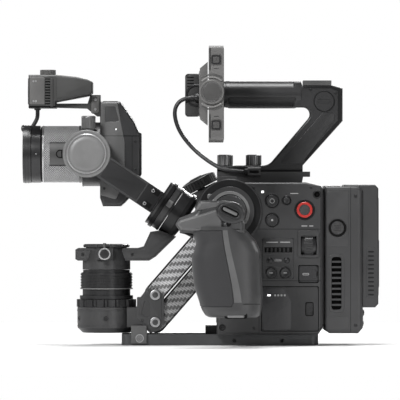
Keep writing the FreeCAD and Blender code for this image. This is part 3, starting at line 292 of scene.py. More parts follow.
# ---- finishes of the CAD nodes
FINISH = {
    "plate": ["base_plate"],
    "saddle": ["parking_saddle", "accessory_shoe", "pan_lock_knob"],
    "shell": ["left_shell", "right_shell", "top_mount_plate", "control_panel"],
    "shell_dark": ["dovetail_rail", "grip_rosettes", "upper_link", "lower_link", "grip_lock_screws"],
    "frame": ["chassis"],
    "board": ["main_board"],
    "steel": ["body_fasteners", "front_link_pins"],
    "rear": ["rear_housing"],
    "battery": ["battery"],
    "door": ["media_door"],
    "rubber": ["usb_cover", "left_grip_rubber", "right_grip_rubber"],
    "handle": ["top_handle"],
    "monitor": ["monitor_housing"],
    "monitor_dark": ["monitor_mount"],
    "screen": ["monitor_screen"],
    "key": ["power_button", "mode_button", "lock_button", "front_key", "rear_key", "door_latch",
            "monitor_key_lower", "monitor_key_upper"],
    "key_grey": ["record_button", "battery_release"],
    "cable": ["monitor_cable"],
    "grip": ["left_grip", "right_grip"],
    "gimbal": ["pan_motor", "roll_motor", "lock_ring"],
    "gimbal_grey": ["pan_base", "pan_arm", "roll_arm"],
    "motor": ["tilt_motor"],
    "knob": ["front_thumbscrew", "rear_thumbscrew", "tilt_lock_knob"],
    "motor_dark": ["right_focus_wheel"],
    "head": ["camera_head", "multi_wheel"],
    "lens_grey": ["lens_barrel"],
    "lens_black": ["lens_hood", "focus_ring"],
    "glass": ["lens_glass"],
    "sensor": ["rangefinder"],
    "sensor_light": ["rangefinder_knob"],
    "fan": ["cooling_fan"],
}
# nodes with small edges, which are bevelled less
FINE = {"lock_ring", "multi_wheel", "front_thumbscrew", "rear_thumbscrew", "tilt_lock_knob",
    "rangefinder_knob", "right_focus_wheel", "lens_hood", "lens_glass", "monitor_screen", "cooling_fan"}

for key, names in FINISH.items():
    for name in names:
        node = NODES[name]
        node.data.materials.clear()
        node.data.materials.append(MATERIALS[key].material)
        for polygon in node.data.polygons:
            polygon.material_index = 0
            polygon.use_smooth = True
        weld = node.modifiers.new("weld", "WELD")
        weld.merge_threshold = 0.002 * MM
        bevel = node.modifiers.new("bevel", "BEVEL")
        bevel.width = (0.15 if name in FINE else 0.35) * MM
        bevel.segments = 2
        bevel.limit_method = "ANGLE"
        bevel.angle_limit = math.radians(32)
        bevel.harden_normals = True
        normal = node.modifiers.new("normal", "WEIGHTED_NORMAL")
        normal.keep_sharp = True


# ---- shape helpers
SIDES = {
    # local x, y and z axes, and the sign of the first coordinate
    "left": (Vector((1, 0, 0)), Vector((0, 0, 1)), Vector((0, -1, 0)), 1),
    "right": (Vector((-1, 0, 0)), Vector((0, 0, 1)), Vector((0, 1, 0)), -1),
    "front": (Vector((0, -1, 0)), Vector((0, 0, 1)), Vector((-1, 0, 0)), -1),
    "back": (Vector((0, 1, 0)), Vector((0, 0, 1)), Vector((1, 0, 0)), 1),
    "top": (Vector((1, 0, 0)), Vector((0, 1, 0)), Vector((0, 0, 1)), 1),
}


def frame_of(x_axis, y_axis, z_axis, origin):
    """A matrix with the given axes, at a place in millimetres."""
    matrix = Matrix((x_axis, y_axis, z_axis)).transposed().to_4x4()
    matrix.translation = Vector(origin) * MM
    return matrix


def circle(x, y, r, count=48, start=0, sweep=2 * math.pi):
    """Points round a circle or along an arc of it."""
    whole = abs(sweep - 2 * math.pi) < 1e-6
    steps = count if whole else count - 1
    return [(x + r * math.cos(start + sweep * i / steps), y + r * math.sin(start + sweep * i / steps))
        for i in range(count)]


def round_poly(points, radius, steps=5):
    """A closed outline with its corners rounded."""
    made = []
    for i, corner in enumerate(points):
        before, after = Vector(points[i - 1]), Vector(points[(i + 1) % len(points)])
        here = Vector(corner)
        to_before, to_after = (before - here), (after - here)
        turn = to_before.angle(to_after)
        reach = min(radius / math.tan(turn / 2), 0.48 * to_before.length, 0.48 * to_after.length)
        start, end = here + to_before.normalized() * reach, here + to_after.normalized() * reach
        for j in range(steps + 1):
            t = j / steps
            point = start * (1 - t) ** 2 + here * 2 * t * (1 - t) + end * t ** 2
            made.append((point.x, point.y))
    return made


def round_box(x0, y0, x1, y1, radius=1):
    """A rounded rectangle."""
    return round_poly([(x0, y0), (x1, y0), (x1, y1), (x0, y1)], radius)


def settle(obj, body, key, angle=35):
    """Smooth shading, a finish, and the body that a piece belongs to."""
    mesh = obj.data
    mesh.materials.append(MATERIALS[key].material)
    for polygon in mesh.polygons:
        polygon.use_smooth = True
    mesh.set_sharp_from_angle(angle=math.radians(angle))
    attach(obj, body)
    return obj


def from_bmesh(name, bm, matrix=None):
    """An object made of a bmesh."""
    bmesh.ops.recalc_face_normals(bm, faces=bm.faces)
    mesh = bpy.data.meshes.new(name)
    bm.to_mesh(mesh)
    bm.free()
    obj = bpy.data.objects.new(name, mesh)
    bpy.context.scene.collection.objects.link(obj)
    if matrix is not None:
        obj.data.transform(matrix)
    return obj


def baked(curve_object):
    """A curve object turned into a welded mesh object of the same name."""
    name = curve_object.name
    graph = bpy.context.evaluated_depsgraph_get()
    mesh = bpy.data.meshes.new_from_object(curve_object.evaluated_get(graph))
    mesh.transform(curve_object.matrix_world)
    bpy.data.objects.remove(curve_object, do_unlink=True)
    bm = bmesh.new()
    bm.from_mesh(mesh)
    bmesh.ops.remove_doubles(bm, verts=bm.verts, dist=1e-6)
    bmesh.ops.dissolve_degenerate(bm, edges=bm.edges, dist=1e-7)
    bpy.data.meshes.remove(mesh)
    return from_bmesh(name, bm)


class Group:
    """Detail pieces that ride on one body; the slot given to them is stored but not used."""

    def __init__(self, body, slot):
        self.body, self.slot = body, slot

    def plaque(self, name, outlines, side, face, thick, key, bevel=0.3, rounds=2):
        """A flat or pillowed piece cut to outlines; inner ones are holes, face is its outer plane."""
        x_axis, y_axis, z_axis, sign = SIDES[side]
        curve = bpy.data.curves.new(name, "CURVE")
        curve.dimensions = "2D"
        curve.fill_mode = "BOTH"
        for outline in outlines:
            spline = curve.splines.new("POLY")
            spline.points.add(len(outline) - 1)
            for point, (u, v) in zip(spline.points, outline):
                point.co = (sign * u * MM, v * MM, 0, 1)
            spline.use_cyclic_u = True
        bevel = min(bevel, thick * 0.45)
        curve.extrude = (thick / 2 - bevel) * MM
        curve.bevel_depth = bevel * MM
        curve.bevel_resolution = rounds
        curve.offset = -bevel * MM
        obj = bpy.data.objects.new(name, curve)
        bpy.context.scene.collection.objects.link(obj)
        middle = face - thick / 2 * (1 if sum(z_axis) > 0 else -1)
        obj.matrix_world = frame_of(x_axis, y_axis, z_axis, [abs(c) * middle for c in z_axis])
        bpy.context.view_layer.update()
        return settle(baked(obj), self.body, key)

    def tile(self, name, box, face, thick, key, bevel=0.3, rounds=2, side="left"):
        """A plaque with one rounded box for its outline: box is two corners and the corner radius."""
        return self.plaque(name, [round_box(*box)], side, face, thick, key, bevel, rounds)

    def lathe(self, name, profile, origin, axis, key, count=64, flute=None):
        """A piece turned about an axis: profile is (radius, height), which flute(...) may trim by angle."""
        z_axis = Vector(axis).normalized()
        x_axis = z_axis.orthogonal().normalized()
        if abs(z_axis.y) > 0.9:
            x_axis = Vector((1, 0, 0))
        y_axis = z_axis.cross(x_axis)
        bm = bmesh.new()
        rings = []
        for radius, height in profile:
            if radius < 1e-6:
                rings.append([bm.verts.new((0, 0, height * MM))])
                continue
            ring = []
            for i in range(count):
                angle = 2 * math.pi * i / count
                r = flute(radius, height, angle) if flute else radius
                ring.append(bm.verts.new((r * math.cos(angle) * MM, r * math.sin(angle) * MM, height * MM)))
            rings.append(ring)
        for low, high in zip(rings, rings[1:]):
            for i in range(count):
                j = (i + 1) % count
                if len(low) == 1 and len(high) == 1:
                    continue
                if len(low) == 1:
                    bm.faces.new((low[0], high[i], high[j]))
                elif len(high) == 1:
                    bm.faces.new((low[i], low[j], high[0]))
                else:
                    bm.faces.new((low[i], low[j], high[j], high[i]))
        obj = from_bmesh(name, bm, frame_of(x_axis, y_axis, z_axis, origin))
        return settle(obj, self.body, key, 40)

    def hoop(self, name, outer, inner, origin, axis, height, key, edge=0.2, count=72):
        """A flat ring with rounded edges, standing height above origin along axis."""
        profile = [(inner, -0.4), (inner, height - edge), (inner + edge, height), (outer - edge, height),
            (outer, height - edge), (outer, -0.4), (inner, -0.4)]
        return self.lathe(name, profile, origin, axis, key, count)


def screw(name, x, z, y, radius, side, body, key="gimbal"):
    """A socket screw's head with a sunk socket, on a side face."""
    profile = [(0, -0.1), (radius, -0.1), (radius, 0.25), (radius - 0.25, 0.5), (radius * 0.58, 0.5),
        (radius * 0.52, 0.1), (0, 0.05)]
    axis = OPERATOR if side == "left" else (0, 1, 0)
    Group(body, "pin_steel").lathe(name, profile, (x, y, z), axis, key, 30)


def tube(name, points, radius, body, key, bevel_resolution=5):
    """A round line through points in millimetres."""
    curve = bpy.data.curves.new(name, "CURVE")
    curve.dimensions = "3D"
    curve.bevel_depth = radius * MM
    curve.bevel_resolution = bevel_resolution
    curve.use_fill_caps = True
    spline = curve.splines.new("NURBS")
    spline.points.add(len(points) - 1)
    for point, place in zip(spline.points, points):
        point.co = (*(c * MM for c in place), 1)
    spline.order_u = 4
    spline.use_endpoint_u = True
    obj = bpy.data.objects.new(name, curve)
    bpy.context.scene.collection.objects.link(obj)
    bpy.context.view_layer.update()
    return settle(baked(obj), body, key, 50)


casing = Group("camera_body", "body_shell")
fixing = Group("camera_body", "pin_steel")
key_piece = Group("camera_body", "key_plastic")
rear = Group("camera_body", "rear_plastic")
handle = Group("camera_body", "handle_metal")
mount = Group("camera_body", "monitor_case")
door = Group("media_door", "door_plastic")
pack = Group("battery", "battery_plastic")
base = Group("pan_base", "gimbal_metal")
base_pin = Group("pan_base", "pin_steel")
roll = Group("roll_arm", "gimbal_metal")
tilt_motor = Group("roll_arm", "motor_metal")
head = Group("camera_head", "head_metal")
lens_dark = Group("camera_head", "lens_black")
sensor = Group("camera_head", "sensor_metal")
monitor = Group("monitor", "monitor_case")
grip_key = Group("grip_lock_screws", "pin_steel")


# ---- camera, floor and light, in metres
camera_data = bpy.data.cameras.new("camera")
camera_data.lens = 500
camera_data.sensor_width = 36
camera_data.clip_end = 60
camera = bpy.data.objects.new("camera", camera_data)
bpy.context.scene.collection.objects.link(camera)
camera.location = (-0.0376, -5.222, 0.1355)
camera.rotation_euler = (math.radians(90), 0, 0)
bpy.context.scene.camera = camera

# ---- monitor cable: control points in metres, from the gland on the monitor's mount to the body's
CABLE_ROUTE = [
    (-0.0400, -0.0110, 0.2318), (-0.0535, -0.0110, 0.2318), (-0.0625, -0.0112, 0.2210),
    (-0.0590, -0.0116, 0.2030), (-0.0470, -0.0125, 0.1860), (-0.0300, -0.0195, 0.1715),
    (-0.0120, -0.0254, 0.1619), (0.0070, -0.0254, 0.1619),
]
CABLE_LENGTH, CABLE_WIDTH = 0.1278, 0.0038
cable_curve = bpy.data.curves.new("cable_line", "CURVE")
cable_curve.dimensions = "3D"
cable_curve.bevel_depth = CABLE_WIDTH / 2
cable_curve.bevel_resolution = 6
cable_curve.resolution_u = 24
cable_spline = cable_curve.splines.new("NURBS")
cable_spline.points.add(len(CABLE_ROUTE) - 1)
for cable_point, place in zip(cable_spline.points, CABLE_ROUTE):
    cable_point.co = (*place, 1)
cable_spline.order_u = 3
cable_spline.use_endpoint_u = True
cable_curve.materials.append(MATERIALS["cable"].material)
cable = bpy.data.objects.new("cable_line", cable_curve)
bpy.context.scene.collection.objects.link(cable)
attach(cable, "camera_body")
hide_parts("monitor_cable")


def studio():
    """A pale round floor, a surround that only the camera sees bright, and soft lights."""
    g = Graph("pale_floor")
    haze = g.noise(6, 3)
    g.set(Base_Color=g.ramp(haze, [(0.2, (0.86, 0.86, 0.86)), (0.8, (0.9, 0.9, 0.9))]), Roughness=0.75)
    bm = bmesh.new()
    bmesh.ops.create_circle(bm, cap_ends=True, segments=96, radius=0.9)
    floor = from_bmesh("floor", bm, Matrix.Translation((-0.04, 0, -0.0004)))
    floor.data.materials.append(g.material)
    world = bpy.data.worlds.new("surround")
    world.use_nodes = True
    tree = world.node_tree
    surround = tree.nodes["Background"]
    surround.inputs["Color"].default_value = (1, 1, 1, 1)
    seen = tree.nodes.new("ShaderNodeLightPath").outputs["Is Camera Ray"]
    strength = tree.nodes.new("ShaderNodeMapRange")
    strength.inputs["To Min"].default_value = 0.085
    strength.inputs["To Max"].default_value = 1
    tree.links.new(seen, strength.inputs["Value"])
    tree.links.new(strength.outputs["Result"], surround.inputs["Strength"])
    bpy.context.scene.world = world
    middle = Vector((-0.04, 0, 0.13))
    lights = [
        # name, place, diameter and watts
        ("key", (-0.95, -1.7, 1.25), 0.5, 38),
        ("fill", (0.9, -1.9, 0.35), 0.8, 5),
        ("top", (-0.1, 0, 1.7), 0.7, 22),
        ("back", (0.5, 1.9, 0.9), 0.8, 26),
        ("front", (-1.9, 0.6, 0.7), 0.7, 8),
        ("rear", (1.9, 0.6, 0.8), 0.7, 8),
    ]
    for name, place, size, power in lights:
        data = bpy.data.lights.new(name, "AREA")
        data.shape = "DISK"
        data.size = size
        data.energy = power
        light = bpy.data.objects.new(name, data)
        bpy.context.scene.collection.objects.link(light)
        light.location = place
        aim = middle - Vector(place)
        light.rotation_euler = aim.to_track_quat("-Z", "Y").to_euler()
    bpy.context.scene.view_settings.view_transform = "Standard"


studio()


# ---- pieces on the body
def seam(name, points, y, side="left", body="camera_body", slot_name="body_shell", width=0.35, key="black"):
    """A thin dark joint line drawn on a side face through the X-Z points."""
    for i, (start, end) in enumerate(zip(points, points[1:])):
        a, b = Vector(start), Vector(end)
        across = (b - a).orthogonal().normalized() * width / 2
        along = (b - a).normalized() * width / 2
        a, b = a - along, b + along
        outline = [tuple(a + across), tuple(b + across), tuple(b - across), tuple(a - across)]
        Group(body, slot_name).plaque("%s_%d" % (name, i), [outline], side, y, 0.3, key, 0.05, 1)


def body_details():
    """Rings, lamps, switches, marks and screws on the casing."""
    for side, sign in BOTH:
        axis = (0, sign, 0)
        casing.hoop("rosette_face_" + side, 23, 18.8, (ROSETTE[0], sign * 50.4, ROSETTE[1]), axis, 0.25,
            "gimbal_grey")
        casing.hoop("rosette_ring_" + side, 18.9, 15.6, (ROSETTE[0], sign * 51, ROSETTE[1]), axis,
            0.35, "motor", 0.3)
        casing.hoop("rosette_rim_" + side, 30.1, 28.6, (ROSETTE[0], sign * 46.6, ROSETTE[1]), axis,
            0.9, "shell", 0.5)
        face = sign * 45
        screw("low_screw_" + side, -16.8, 16.6, sign * 41.2, 2.7, side, "camera_body")
        for i, (x, z) in enumerate(((12.5, 16), (12.5, 146.5), (66, 147.2))):
            screw("shell_screw_%s_%d" % (side, i), x, z, face, 1.3, side, "camera_body")
        screw("saddle_screw_" + side, -94, 6.3, sign * 34, 3.2, side, "camera_body", "knob")

    # lamps and the eyelet
    key_piece.tile("status_lamp", (19.5, 142, 21.9, 144.2, 0.9), -45.35, 0.6, "lamp")
    fixing.lathe("strap_eyelet", [(0, 0), (1.2, 0), (1.6, 0.5), (2.4, 0.7), (2.9, 0.2), (2.9, -0.3)],
        (2.8, -45, 147.8), OPERATOR, "knob", 32)
    fixing.tile("side_pill", (-31, 136.5, -19.7, 141.2, 2.2), -50, 3, "knob", 0.8, 4)
    fixing.tile("side_pill_foot", (-22, 137, -17, 140.7, 1), -48.6, 4.6, "gimbal")

    # collars round the buttons
    collars = (("power", 29.6, 134.6, 5.6), ("mode", 29.6, 116.7, 5.6), ("lock", 43.2, 135.1, 3.3))
    for name, x, z, r in collars:
        casing.hoop(name + "_collar", r + 1.3, r + 0.35, (x, -45, z), OPERATOR, 0.5, "gimbal", 0.25, 48)
    casing.hoop("record_collar", 9.6, 7.9, (59.9, -45, 126.3), OPERATOR, 0.7, "shell_dark", 0.3)
    record = Group("record_button", "record_key")
    record.hoop("record_ring", 7.35, 5, (59.9, -46.6, 126.3), OPERATOR, 0.45, "red", 0.35)
    record.lathe("record_dish", [(0, 0.05), (2.4, 0.16), (4.3, 0.5), (4.8, 0.45), (4.9, -0.2)],
        (59.9, -46.6, 126.3), OPERATOR, "key_grey", 48)

    # generic marks on the round buttons
    Group("power_button", "key_plastic").hoop("power_mark", 2.3, 1.8, (29.6, -46.3, 134.6), OPERATOR, 0.12,
        "mark", 0.03, 32)
    Group("mode_button", "key_plastic").hoop("mode_mark", 1, 0.0001, (29.6, -46.27, 116.7), OPERATOR, 0.1,
        "mark", 0.03, 24)

    # panel: framed slot, switch row and key collars
    casing.plaque("panel_frame", [round_box(20.9, 62.4, 49.6, 99.6, 2.4),
        round_box(22.1, 86.2, 48.9, 91.9, 1), round_box(22.1, 73.6, 48.9, 84.6, 1.4),
        circle(28.7, 67.6, 5.1), circle(41.8, 67.6, 5.1)], "left", -45.95, 0.9, "shell", 0.25)
    casing.tile("panel_slot", (22.2, 86.3, 48.8, 91.8, 1), -44.95, 0.3, "black", 0.08)
    for i in range(6):
        casing.tile("slot_rib_%d" % i, (24.2 + i * 3.9, 87.2, 26 + i * 3.9, 90.9, 0.5), -45.3, 0.5,
            "gimbal", 0.15)
    casing.tile("switch_tray", (22.2, 73.7, 48.8, 84.5, 1.4), -45.2, 0.4, "shell_dark", 0.1)
    for i, x in enumerate((27.4, 43.2)):
        key_piece.lathe("switch_head_%d" % i, [(0, 1.9), (1.6, 1.8), (2.5, 1.2), (2.9, 0.4), (3.3, 0.2),
            (3.4, -0.3)], (x, -45.2, 79.2), OPERATOR, "gimbal", 40)
    key_piece.tile("switch_bar", (31.6, 78.2, 38.6, 80.4, 0.9), -46.3, 1.3, "knob", 0.4, 3)
    for i, x in enumerate((28.7, 41.8)):
        casing.hoop("key_collar_%d" % i, 5.6, 4.9, (x, -45.9, 67.6), OPERATOR, 0.35, "gimbal", 0.15, 48)
    for i, (x, key_body) in enumerate(((28.7, "front_key"), (41.8, "rear_key"))):
        Group(key_body, "key_plastic").tile("key_mark_%d" % i, (x - 1.6, 67.2, x + 1.6, 68, 0.3), -46.5,
            0.3, "mark", 0.05)

    # wheel frame, socket ring, door and cover lines
    casing.plaque("wheel_frame", [round_box(53.6, 82, 73.3, 107.3, 3), round_box(56.4, 83.6, 71.1, 102.4,
        1.6)], "left", -46.9, 0.9, "shell", 0.35, 3)
    casing.hoop("socket_ring", 3.7, 2.7, (71.4, -45, 140.7), OPERATOR, 0.4, "gimbal", 0.15, 40)
    casing.plaque("socket_core", [circle(71.4, 140.7, 2.5, 32)], "left", -42.6, 0.6, "black", 0.2)
    casing.hoop("door_rebate_ring", 3.9, 3.4, (71.4, -45, 140.7), OPERATOR, 0.2, "black", 0.05, 40)
    door.tile("door_lamp", (25, 45.8, 28.4, 47.7, 0.9), -45.35, 0.6, "lamp")
    door.plaque("door_panel", [round_poly([(20.6, 14.4), (47.2, 14.4), (47.2, 41), (40, 53.6),
        (20.6, 53.6)], 3)], "left", -45.3, 0.5, "door_light", 0.2)
    for i in range(4):
        door.tile("door_line_%d" % i, (31.5 + i * 3, 45.8, 33.2 + i * 3, 47.6, 0.4), -45.4,
            0.3, "mark", 0.05)
    door.plaque("latch_mark", [round_poly([(62.9, 30), (65.9, 30), (64.4, 32.2)], 0.2)], "left", -43.2,
        0.2, "mark", 0.04)
    Group("usb_cover", "rubber").tile("cover_pull", (66.8, 62.6, 71, 70.4, 1.6), -45.5, 0.9,
        "rubber", 0.35, 3)
    Group("usb_cover", "rubber").plaque("cover_icon", [round_box(58, 65.4, 64, 67.4, 0.9),
        round_box(58.5, 65.9, 63.5, 66.9, 0.45)], "left", -45.15, 0.2, "mark", 0.04)
    gaps = [
        ("latch", (60.6, 27.4, 68.2, 40.2), -45.35, "media_door"),
        ("door", (19.3, 12.9, 73.2, 55.1), -45.1, "camera_body"),
        ("cover", (54, 58, 72.9, 74.9), -45.1, "camera_body"),
    ]
    for name, (x0, z0, x1, z1), face, body in gaps:
        Group(body, "body_shell").plaque(name + "_outline", [round_box(x0, z0, x1, z1, 1.6),
            round_box(x0 + 0.6, z0 + 0.6, x1 - 0.6, z1 - 0.6, 1.2)], "left", face, 0.3, "black", 0.08)
    seam("shell_line", [(75, 14), (75, 146)], -45.08)
    seam("panel_line", [(18, 60.2), (74.6, 60.2)], -45.08)
    seam("upper_line", [(16.8, 108.4), (74.6, 108.4)], -45.08)
    seam("lower_line", [(17.4, 12.2), (17.4, 92)], -45.08)

    # generic strips of marks by the keys
    strips = [(24, 35, 95.8), (37, 46.4, 95.8), (46.6, 54, 141.2), (57, 62.5, 110.9), (64.2, 68, 110.9)]
    for i, (x0, x1, z) in enumerate(strips):
        casing.tile("mark_strip_%d" % i, (x0, z, x1, z + 0.8, 0.3), -45.98 if i < 2 else -45.12,
            0.2, "mark", 0.04)


def front_and_back_details():
    """The mouth's lining, the block under the mount plate, the far side, and pads on top."""
    casing.plaque("mouth_lining", [round_box(-30.5, 52.5, 30.5, 150, 4), round_box(-27.6, 55.4, 27.6, 147.4,
        3)], "front", -22.6, 1.4, "shell_dark", 0.4, 3)
    casing.tile("front_badge", (-14, 20.5, 14, 40, 3), -22.4, 0.9, "shell_dark", 0.3, side="front")
    for (side, sign), ending in zip(BOTH, ("", "_far")):
        casing.tile("plate_light_block" + ending, (-21.4, 152.6, -3, 157.6, 0.8), sign * 20.4, 0.8,
            "gimbal_grey", 0.25, side=side)
    for i, (x, z, r) in enumerate(((33, 41, 6.8), (57, 41, 6.8), (60, 82, 3.2), (60, 98, 3.2))):
        depth = 42.5 if r > 5 else 45
        Group("camera_body", "frame_metal").hoop("far_socket_%d" % i, r + 1.2, r - 0.4, (x, depth, z),
            (0, 1, 0), 0.7, "knob", 0.25, 48)
        casing.lathe("far_core_%d" % i, [(0, 1.2), (r * 0.32, 1.2), (r * 0.36, 0.8), (r * 0.4, -0.6),
            (r - 0.5, -0.8)], (x, depth - 2.6, z), (0, 1, 0), "black", 40)
    Group("camera_body", "frame_metal").plaque("far_flat_socket", [round_box(29.4, 77.4, 48.6, 86.6, 1.6),
        round_box(31, 79, 47, 85, 0.6)], "right", 45.5, 0.9, "knob", 0.25)
    casing.tile("far_flat_core", (33, 80.8, 45, 83.2, 0.6), 41.6, 1.4, "black", 0.3, side="right")
    casing.plaque("far_cover", [round_poly([(18, 100), (72, 100), (72, 143), (18, 143)], 5)], "right", 45.7,
        1.1, "rear", 0.5, 3)
    for i in range(9):
        z = 106 + i * 3.9
        casing.tile("far_vent_%d" % i, (26, z, 64, z + 1.7, 0.8), 46.1, 0.6, "black", 0.2, side="right")
    seam("far_line", [(75, 14), (75, 146)], 45.08, "right")
    for i, (y0, y1) in enumerate(((-24, -6), (6, 24))):
        Group("camera_body", "rubber").tile("rail_pad_%d" % i, (30, y0, 66, y1, 3), 10.5, 0.7, "rubber",
            0.3, 3, side="top")
    for i, x in enumerate((-60, -48, 52, 64)):
        fixing.lathe("plate_socket_%d" % i, [(0, 0.1), (1.5, 0.12), (1.6, 0.5), (2.6, 0.5), (3, 0.1),
            (3, -0.3)], (x, 0, 10), UP, "gimbal", 32)


def rear_details():
    """Seams, collars and bumps of the rear housing, and the battery's gauge."""
    for side, sign in BOTH:
        face = sign * 40
        seam("housing_line_" + side, [(102.9, 12), (102.9, 147.4)], face * 1.001, side,
            slot_name="rear_plastic")
        rear.plaque("vent_frame_" + side, [round_box(82.6, 30.4, 96.9, 85.1, 4.6),
            round_box(85.2, 33.2, 94.3, 82.3, 3)], side, sign * 40.6, 1.4, "rear", 0.6, 3)
        # painted shade: a black sheet inside each vent duct stands for the shade within it
        rear.tile("vent_shade_sheet_" + side, (83.2, 31.4, 96.4, 84.2, 0.4), sign * 35.6, 1.2, "black",
            0.1, side=side)
        rear.plaque("housing_pad_" + side, [round_box(80.4, 92, 100.8, 144, 3), circle(90.6, 109.4, 9)],
            side, sign * 40.35, 0.6, "rear", 0.25)
        rear.tile("housing_low_pad_" + side, (80.4, 14.5, 100.8, 27, 3), sign * 40.35, 0.6, "rear",
            0.25, side=side)
        for i, z in enumerate((18.5, 139)):
            screw("housing_screw_%s_%d" % (side, i), 107.6, z, face, 1.5, side, "camera_body")
        pack.tile("battery_grip_" + side, (118, 44, 126, 92, 2), sign * 36.45, 0.8, "battery",
            0.35, 3, side=side)
        for i in range(11):
            z = 46.4 + i * 4
            pack.tile("battery_rib_%s_%d" % (side, i), (119.2, z, 124.8, z + 1.5, 0.7), sign * 36.9, 0.8,
                "shell_dark", 0.3, side=side)
    rear.hoop("release_collar", 8.3, 6.5, (90.6, -40, 109.4), OPERATOR, 0.6, "black", 0.3, 56)
    Group("battery_release", "key_plastic").hoop("release_rim", 6, 4.7, (90.6, -41.2, 109.4), OPERATOR,
        0.25, "rear", 0.2, 56)
    for i in range(3):
        Group("battery_release", "key_plastic").tile("release_rib_%d" % i, (87.6, 107 + i * 2, 93.6,
            107.7 + i * 2, 0.3), -41.25, 0.6, "gimbal", 0.15)
    pack.tile("battery_back_plate", (-29, 46, 29, 138, 6), 129.5, 0.9, "rear", 0.4, 3, side="back")
    for i in range(4):
        pack.tile("gauge_lamp_%d" % i, (-9 + i * 5, 121, -6 + i * 5, 122.8, 0.8), 129.9, 0.5, "lamp",
            0.15, side="back")
    pack.tile("gauge_key", (-5, 110, 5, 116, 2.6), 130.2, 0.9, "key", 0.35, 3, side="back")
    for i in range(7):
        y = -24 + i * 8
        pack.tile("battery_back_rib_%d" % i, (y - 1.6, 54, y + 1.6, 98, 1.4), 130, 0.8, "battery", 0.35,
            3, side="back")
    for i, (x, z) in enumerate(((114.9, 30), (114.4, 20))):
        for y in (-24, 24):
            rear.lathe("rear_bump_%d_%s" % (i, "near" if y < 0 else "far"), [(0, 1.9), (2, 1.6), (3.2, 0.7),
                (3.6, -0.6)], (x - 0.6, y, z), (1, 0, 0), "rubber", 32)
    rear.tile("rear_sockets", (-30, 17, 30, 33, 3), 114.8, 0.6, "shell_dark", 0.25, side="back")


def handle_details():
    """Rubber under the handle, dark bands of painted shade along the struts' bevels, cap discs, strut
    inlays and screws.
    """
    bm = bmesh.new()
    rings = []
    spans = [(-12, 12.2), (-11.2, 12.9), (-9.5, 13.15), (20, 13.25), (50.5, 13.15),
        (52.2, 12.9), (53, 12.2)]
    sweep = [math.radians(a) for a in range(-168, -11, 6)]
    for x, r in spans:
        ring = []
        for angle in sweep:
            edge = 1 - 0.06 * max(0, abs(angle + math.pi / 2) - math.radians(66)) / math.radians(12)
            ring.append(bm.verts.new((x * MM, r * edge * math.cos(angle) * MM,
                (HANDLE_Z + r * edge * math.sin(angle)) * MM)))
        rings.append(ring)
    for low, high in zip(rings, rings[1:]):
        for i in range(len(sweep) - 1):
            bm.faces.new((low[i], low[i + 1], high[i + 1], high[i]))
    bmesh.ops.subdivide_edges(bm, edges=[e for e in bm.edges
        if abs(e.verts[0].co.x - e.verts[1].co.x) > 0.02], cuts=9)
    settle(from_bmesh("handle_rubber", bm), "camera_body", "handle_rubber", 60)
    handle.lathe("handle_cap", [(0, 1.4), (7, 1.2), (10.6, 0.4), (12, -1.2), (12.5, -3), (12.6, -6)],
        (-16, 0, HANDLE_Z), FORWARD, "handle", 56)
    for side, sign in BOTH:
        # painted shade: a dark band along each strut's bevelled edge
        band = [(62, 171.8), (95, 209), (95, 239.6), (86.6, 242.4), (60, 242.4), (58.4, 240.4),
            (84.6, 240.2), (91.6, 237.6), (91.6, 210.6), (59.2, 173.8)]
        handle.plaque("strut_bevel_shade_" + side, [round_poly(band, 0.8)], side, sign * 11.3, 0.6,
            "shell_dark", 0.2)
        handle.plaque("strut_inlay_" + side,
            [round_poly([(36, 169.4), (57.6, 169.4), (88.6, 211.4), (88.6, 217.6), (77.4, 217.6)], 3)],
            side, sign * 11.4, 0.8, "handle", 0.3, 3)
        handle.hoop("cap_ring_" + side, 9.9, 8.9, (78.8, sign * 11.8, 228.1), (0, sign, 0), 0.25,
            "shell_dark", 0.15)
        for i, (x, z) in enumerate(((89.6, 235.6), (66, 239))):
            screw("strut_screw_%s_%d" % (side, i), x, z, sign * 11.2, 1.2, side, "camera_body")
    for i, x in enumerate((62, 82.6)):
        Group("camera_body", "shoe_steel").lathe("shoe_screw_%d" % i, [(0, 0.1), (0.8, 0.1), (0.9, 0.5),
            (1.9, 0.5), (2.2, 0.1), (2.2, -0.2)], (x, 0, 244.2), UP, "gimbal", 28)
    for i, x in enumerate((-14, 12.8)):
        screw_body = ("front_thumbscrew", "rear_thumbscrew")[i]
        Group(screw_body, "knob_metal").lathe("thumb_cap_%d" % i, [(0, 0.1), (2.6, 0.1), (2.7, 0.55),
            (5.4, 0.55), (6.6, 0.1), (6.7, -0.3)], (x, 0, 177.6), UP, "knob", 40)
        handle.lathe("thumb_collar_%d" % i, [(3.2, 0.05), (3.2, 0.3), (8.4, 0.3), (8.8, 0.05), (8.8, -0.3)],
            (x, 0, 167.9), UP, "gimbal", 56)


body_details()
front_and_back_details()
rear_details()
handle_details()


# ---- arm and gimbal
def on_roll(s, w):
    """X and Z of a point s along the roll axis from the tilt axis and w above it."""
    c, d = math.cos(ROLL_PITCH), math.sin(ROLL_PITCH)
    return (TILT[0] + s * c + w * d, TILT[1] - s * d + w * c)


